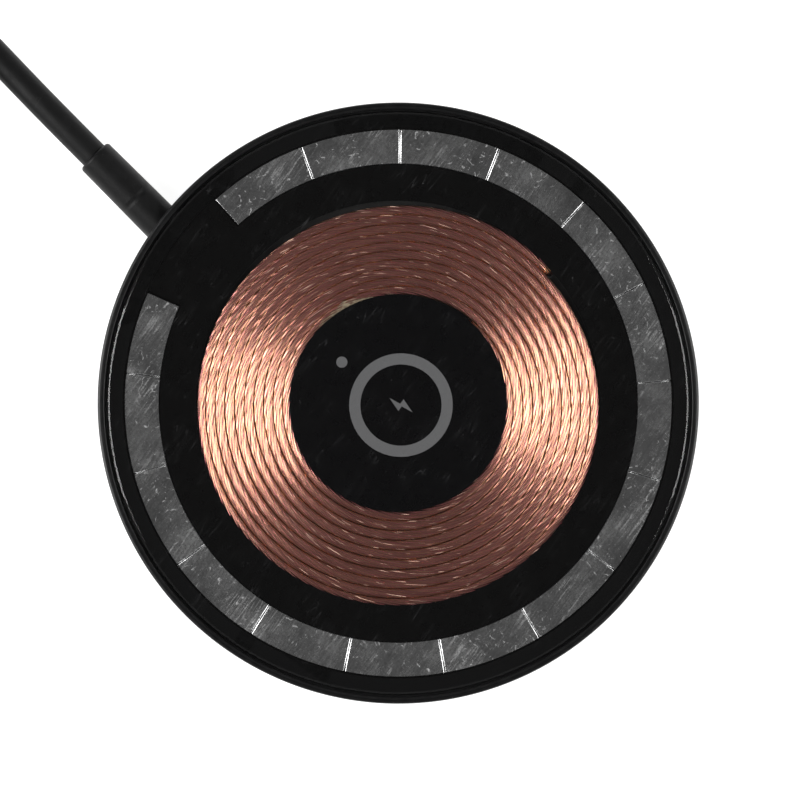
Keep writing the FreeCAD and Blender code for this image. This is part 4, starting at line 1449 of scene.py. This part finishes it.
class PAD_OT_stage(PadOperator):
    """Set up the pale floor, the two soft side lights and the camera above"""

    bl_idname = "pad.stage"
    bl_label = "Stage"

    def floor(self):
        size = 6.0
        corners = [(-size, -size, 0), (size, -size, 0), (size, size, 0), (-size, size, 0)]
        floor = new_piece("floor", corners, [(0, 1, 2, 3)])
        material = Finish("pale_floor", (0.5, 0.5, 0.5), 0.9)
        material.put(material.shader.inputs["Emission Color"], (1, 1, 0.997, 1))
        material.put(material.shader.inputs["Emission Strength"], 0.93)
        material.put(material.shader.inputs["Specular IOR Level"], 0.0)
        floor.data.materials.append(material.material)

    def sky(self, scene):
        """Dark overhead and pale near the horizon, and plain white where the camera sees it."""
        world = bpy.data.worlds.new("studio")
        world.use_nodes = True
        scene.world = world
        net = Net(world.node_tree, "ShaderNode")
        net.tree.nodes.clear()
        direction = net.node("TexCoord").outputs["Generated"]
        height = net.node("SeparateXYZ", direction).outputs[2]
        level = net.node("MapRange", height, 0.0, 0.5, 0.3, 0.088).outputs[0]
        lit = net.node("Background", Color=(1, 1, 1, 1), Strength=level)
        seen = net.node("Background", Color=(1, 1, 1, 1), Strength=1.0)
        camera = net.node("LightPath").outputs["Is Camera Ray"]
        mixed = net.node("MixShader", camera, lit.outputs[0], seen.outputs[0])
        net.node("OutputWorld", Surface=mixed.outputs[0])

    def soft_box(self, scene, name, azimuth, share, settings):
        lamp = bpy.data.lights.new(name, "AREA")
        lamp.shape = "RECTANGLE"
        lamp.size = settings.box_width
        lamp.size_y = settings.box_height
        lamp.energy = settings.box_power * share
        light = bpy.data.objects.new(name, lamp)
        scene.collection.objects.link(light)
        out = math.cos(settings.box_elevation)
        direction = level_direction(azimuth) * out + UP * math.sin(settings.box_elevation)
        light.location = direction * settings.box_distance
        light.rotation_euler = direction.to_track_quat("Z", "Y").to_euler()

    def camera(self, scene, settings):
        lens = bpy.data.cameras.new("camera")
        lens.sensor_width = 36
        middle = Vector((settings.aim_x, settings.aim_y, top_of("magnet_carrier")))
        distance = settings.camera_height - middle.z
        lens.lens = lens.sensor_width * distance / settings.view_width
        lens.clip_start = 0.01
        camera = bpy.data.objects.new("camera", lens)
        scene.collection.objects.link(camera)
        camera.location = (middle.x, middle.y, settings.camera_height)
        camera.rotation_euler = (0, 0, settings.roll)
        scene.camera = camera

    def build(self, scene):
        settings = scene.pad_stage
        scene.view_settings.view_transform = "Standard"
        self.floor()
        self.sky(scene)
        right, left = settings.roll, settings.roll + math.pi
        self.soft_box(scene, "soft_box_right", right, 1 - settings.balance, settings)
        self.soft_box(scene, "soft_box_left", left, 1 + settings.balance, settings)
        self.camera(scene, settings)


class PAD_PT_panel(bpy.types.Panel):
    """Lists the pad's operators in the order in which they run"""

    bl_idname = "PAD_PT_panel"
    bl_label = "Charging Pad"
    bl_space_type = "VIEW_3D"
    bl_region_type = "UI"
    bl_category = "Charging Pad"

    def draw(self, context):
        for operator in OPERATORS:
            self.layout.operator(operator.bl_idname)


OPERATORS = [
    PAD_OT_stage,
    PAD_OT_ties,
    PAD_OT_plug,
    PAD_OT_lead,
    PAD_OT_case,
    PAD_OT_window,
    PAD_OT_magnets,
    PAD_OT_winding,
    PAD_OT_glue,
    PAD_OT_centre,
    PAD_OT_inside,
    PAD_OT_outlet,
]


def register():
    for settings in SETTINGS.values():
        bpy.utils.register_class(settings)
    for operator in OPERATORS:
        bpy.utils.register_class(operator)
    bpy.utils.register_class(PAD_PT_panel)
    for name, settings in SETTINGS.items():
        setattr(bpy.types.Scene, name, PointerProperty(type=settings))


def unregister():
    for name in SETTINGS:
        delattr(bpy.types.Scene, name)
    bpy.utils.unregister_class(PAD_PT_panel)
    for operator in reversed(OPERATORS):
        bpy.utils.unregister_class(operator)
    for settings in SETTINGS.values():
        bpy.utils.unregister_class(settings)


def main():
    register()
    bpy.ops.pad.stage()
    bpy.ops.pad.ties()
    bpy.ops.pad.plug()
    bpy.ops.pad.lead()
    bpy.ops.pad.case()
    bpy.ops.pad.window()
    bpy.ops.pad.magnets()
    bpy.ops.pad.winding()
    bpy.ops.pad.glue()
    bpy.ops.pad.centre()
    bpy.ops.pad.inside()
    bpy.ops.pad.outlet()


if __name__ == "__main__":
    main()
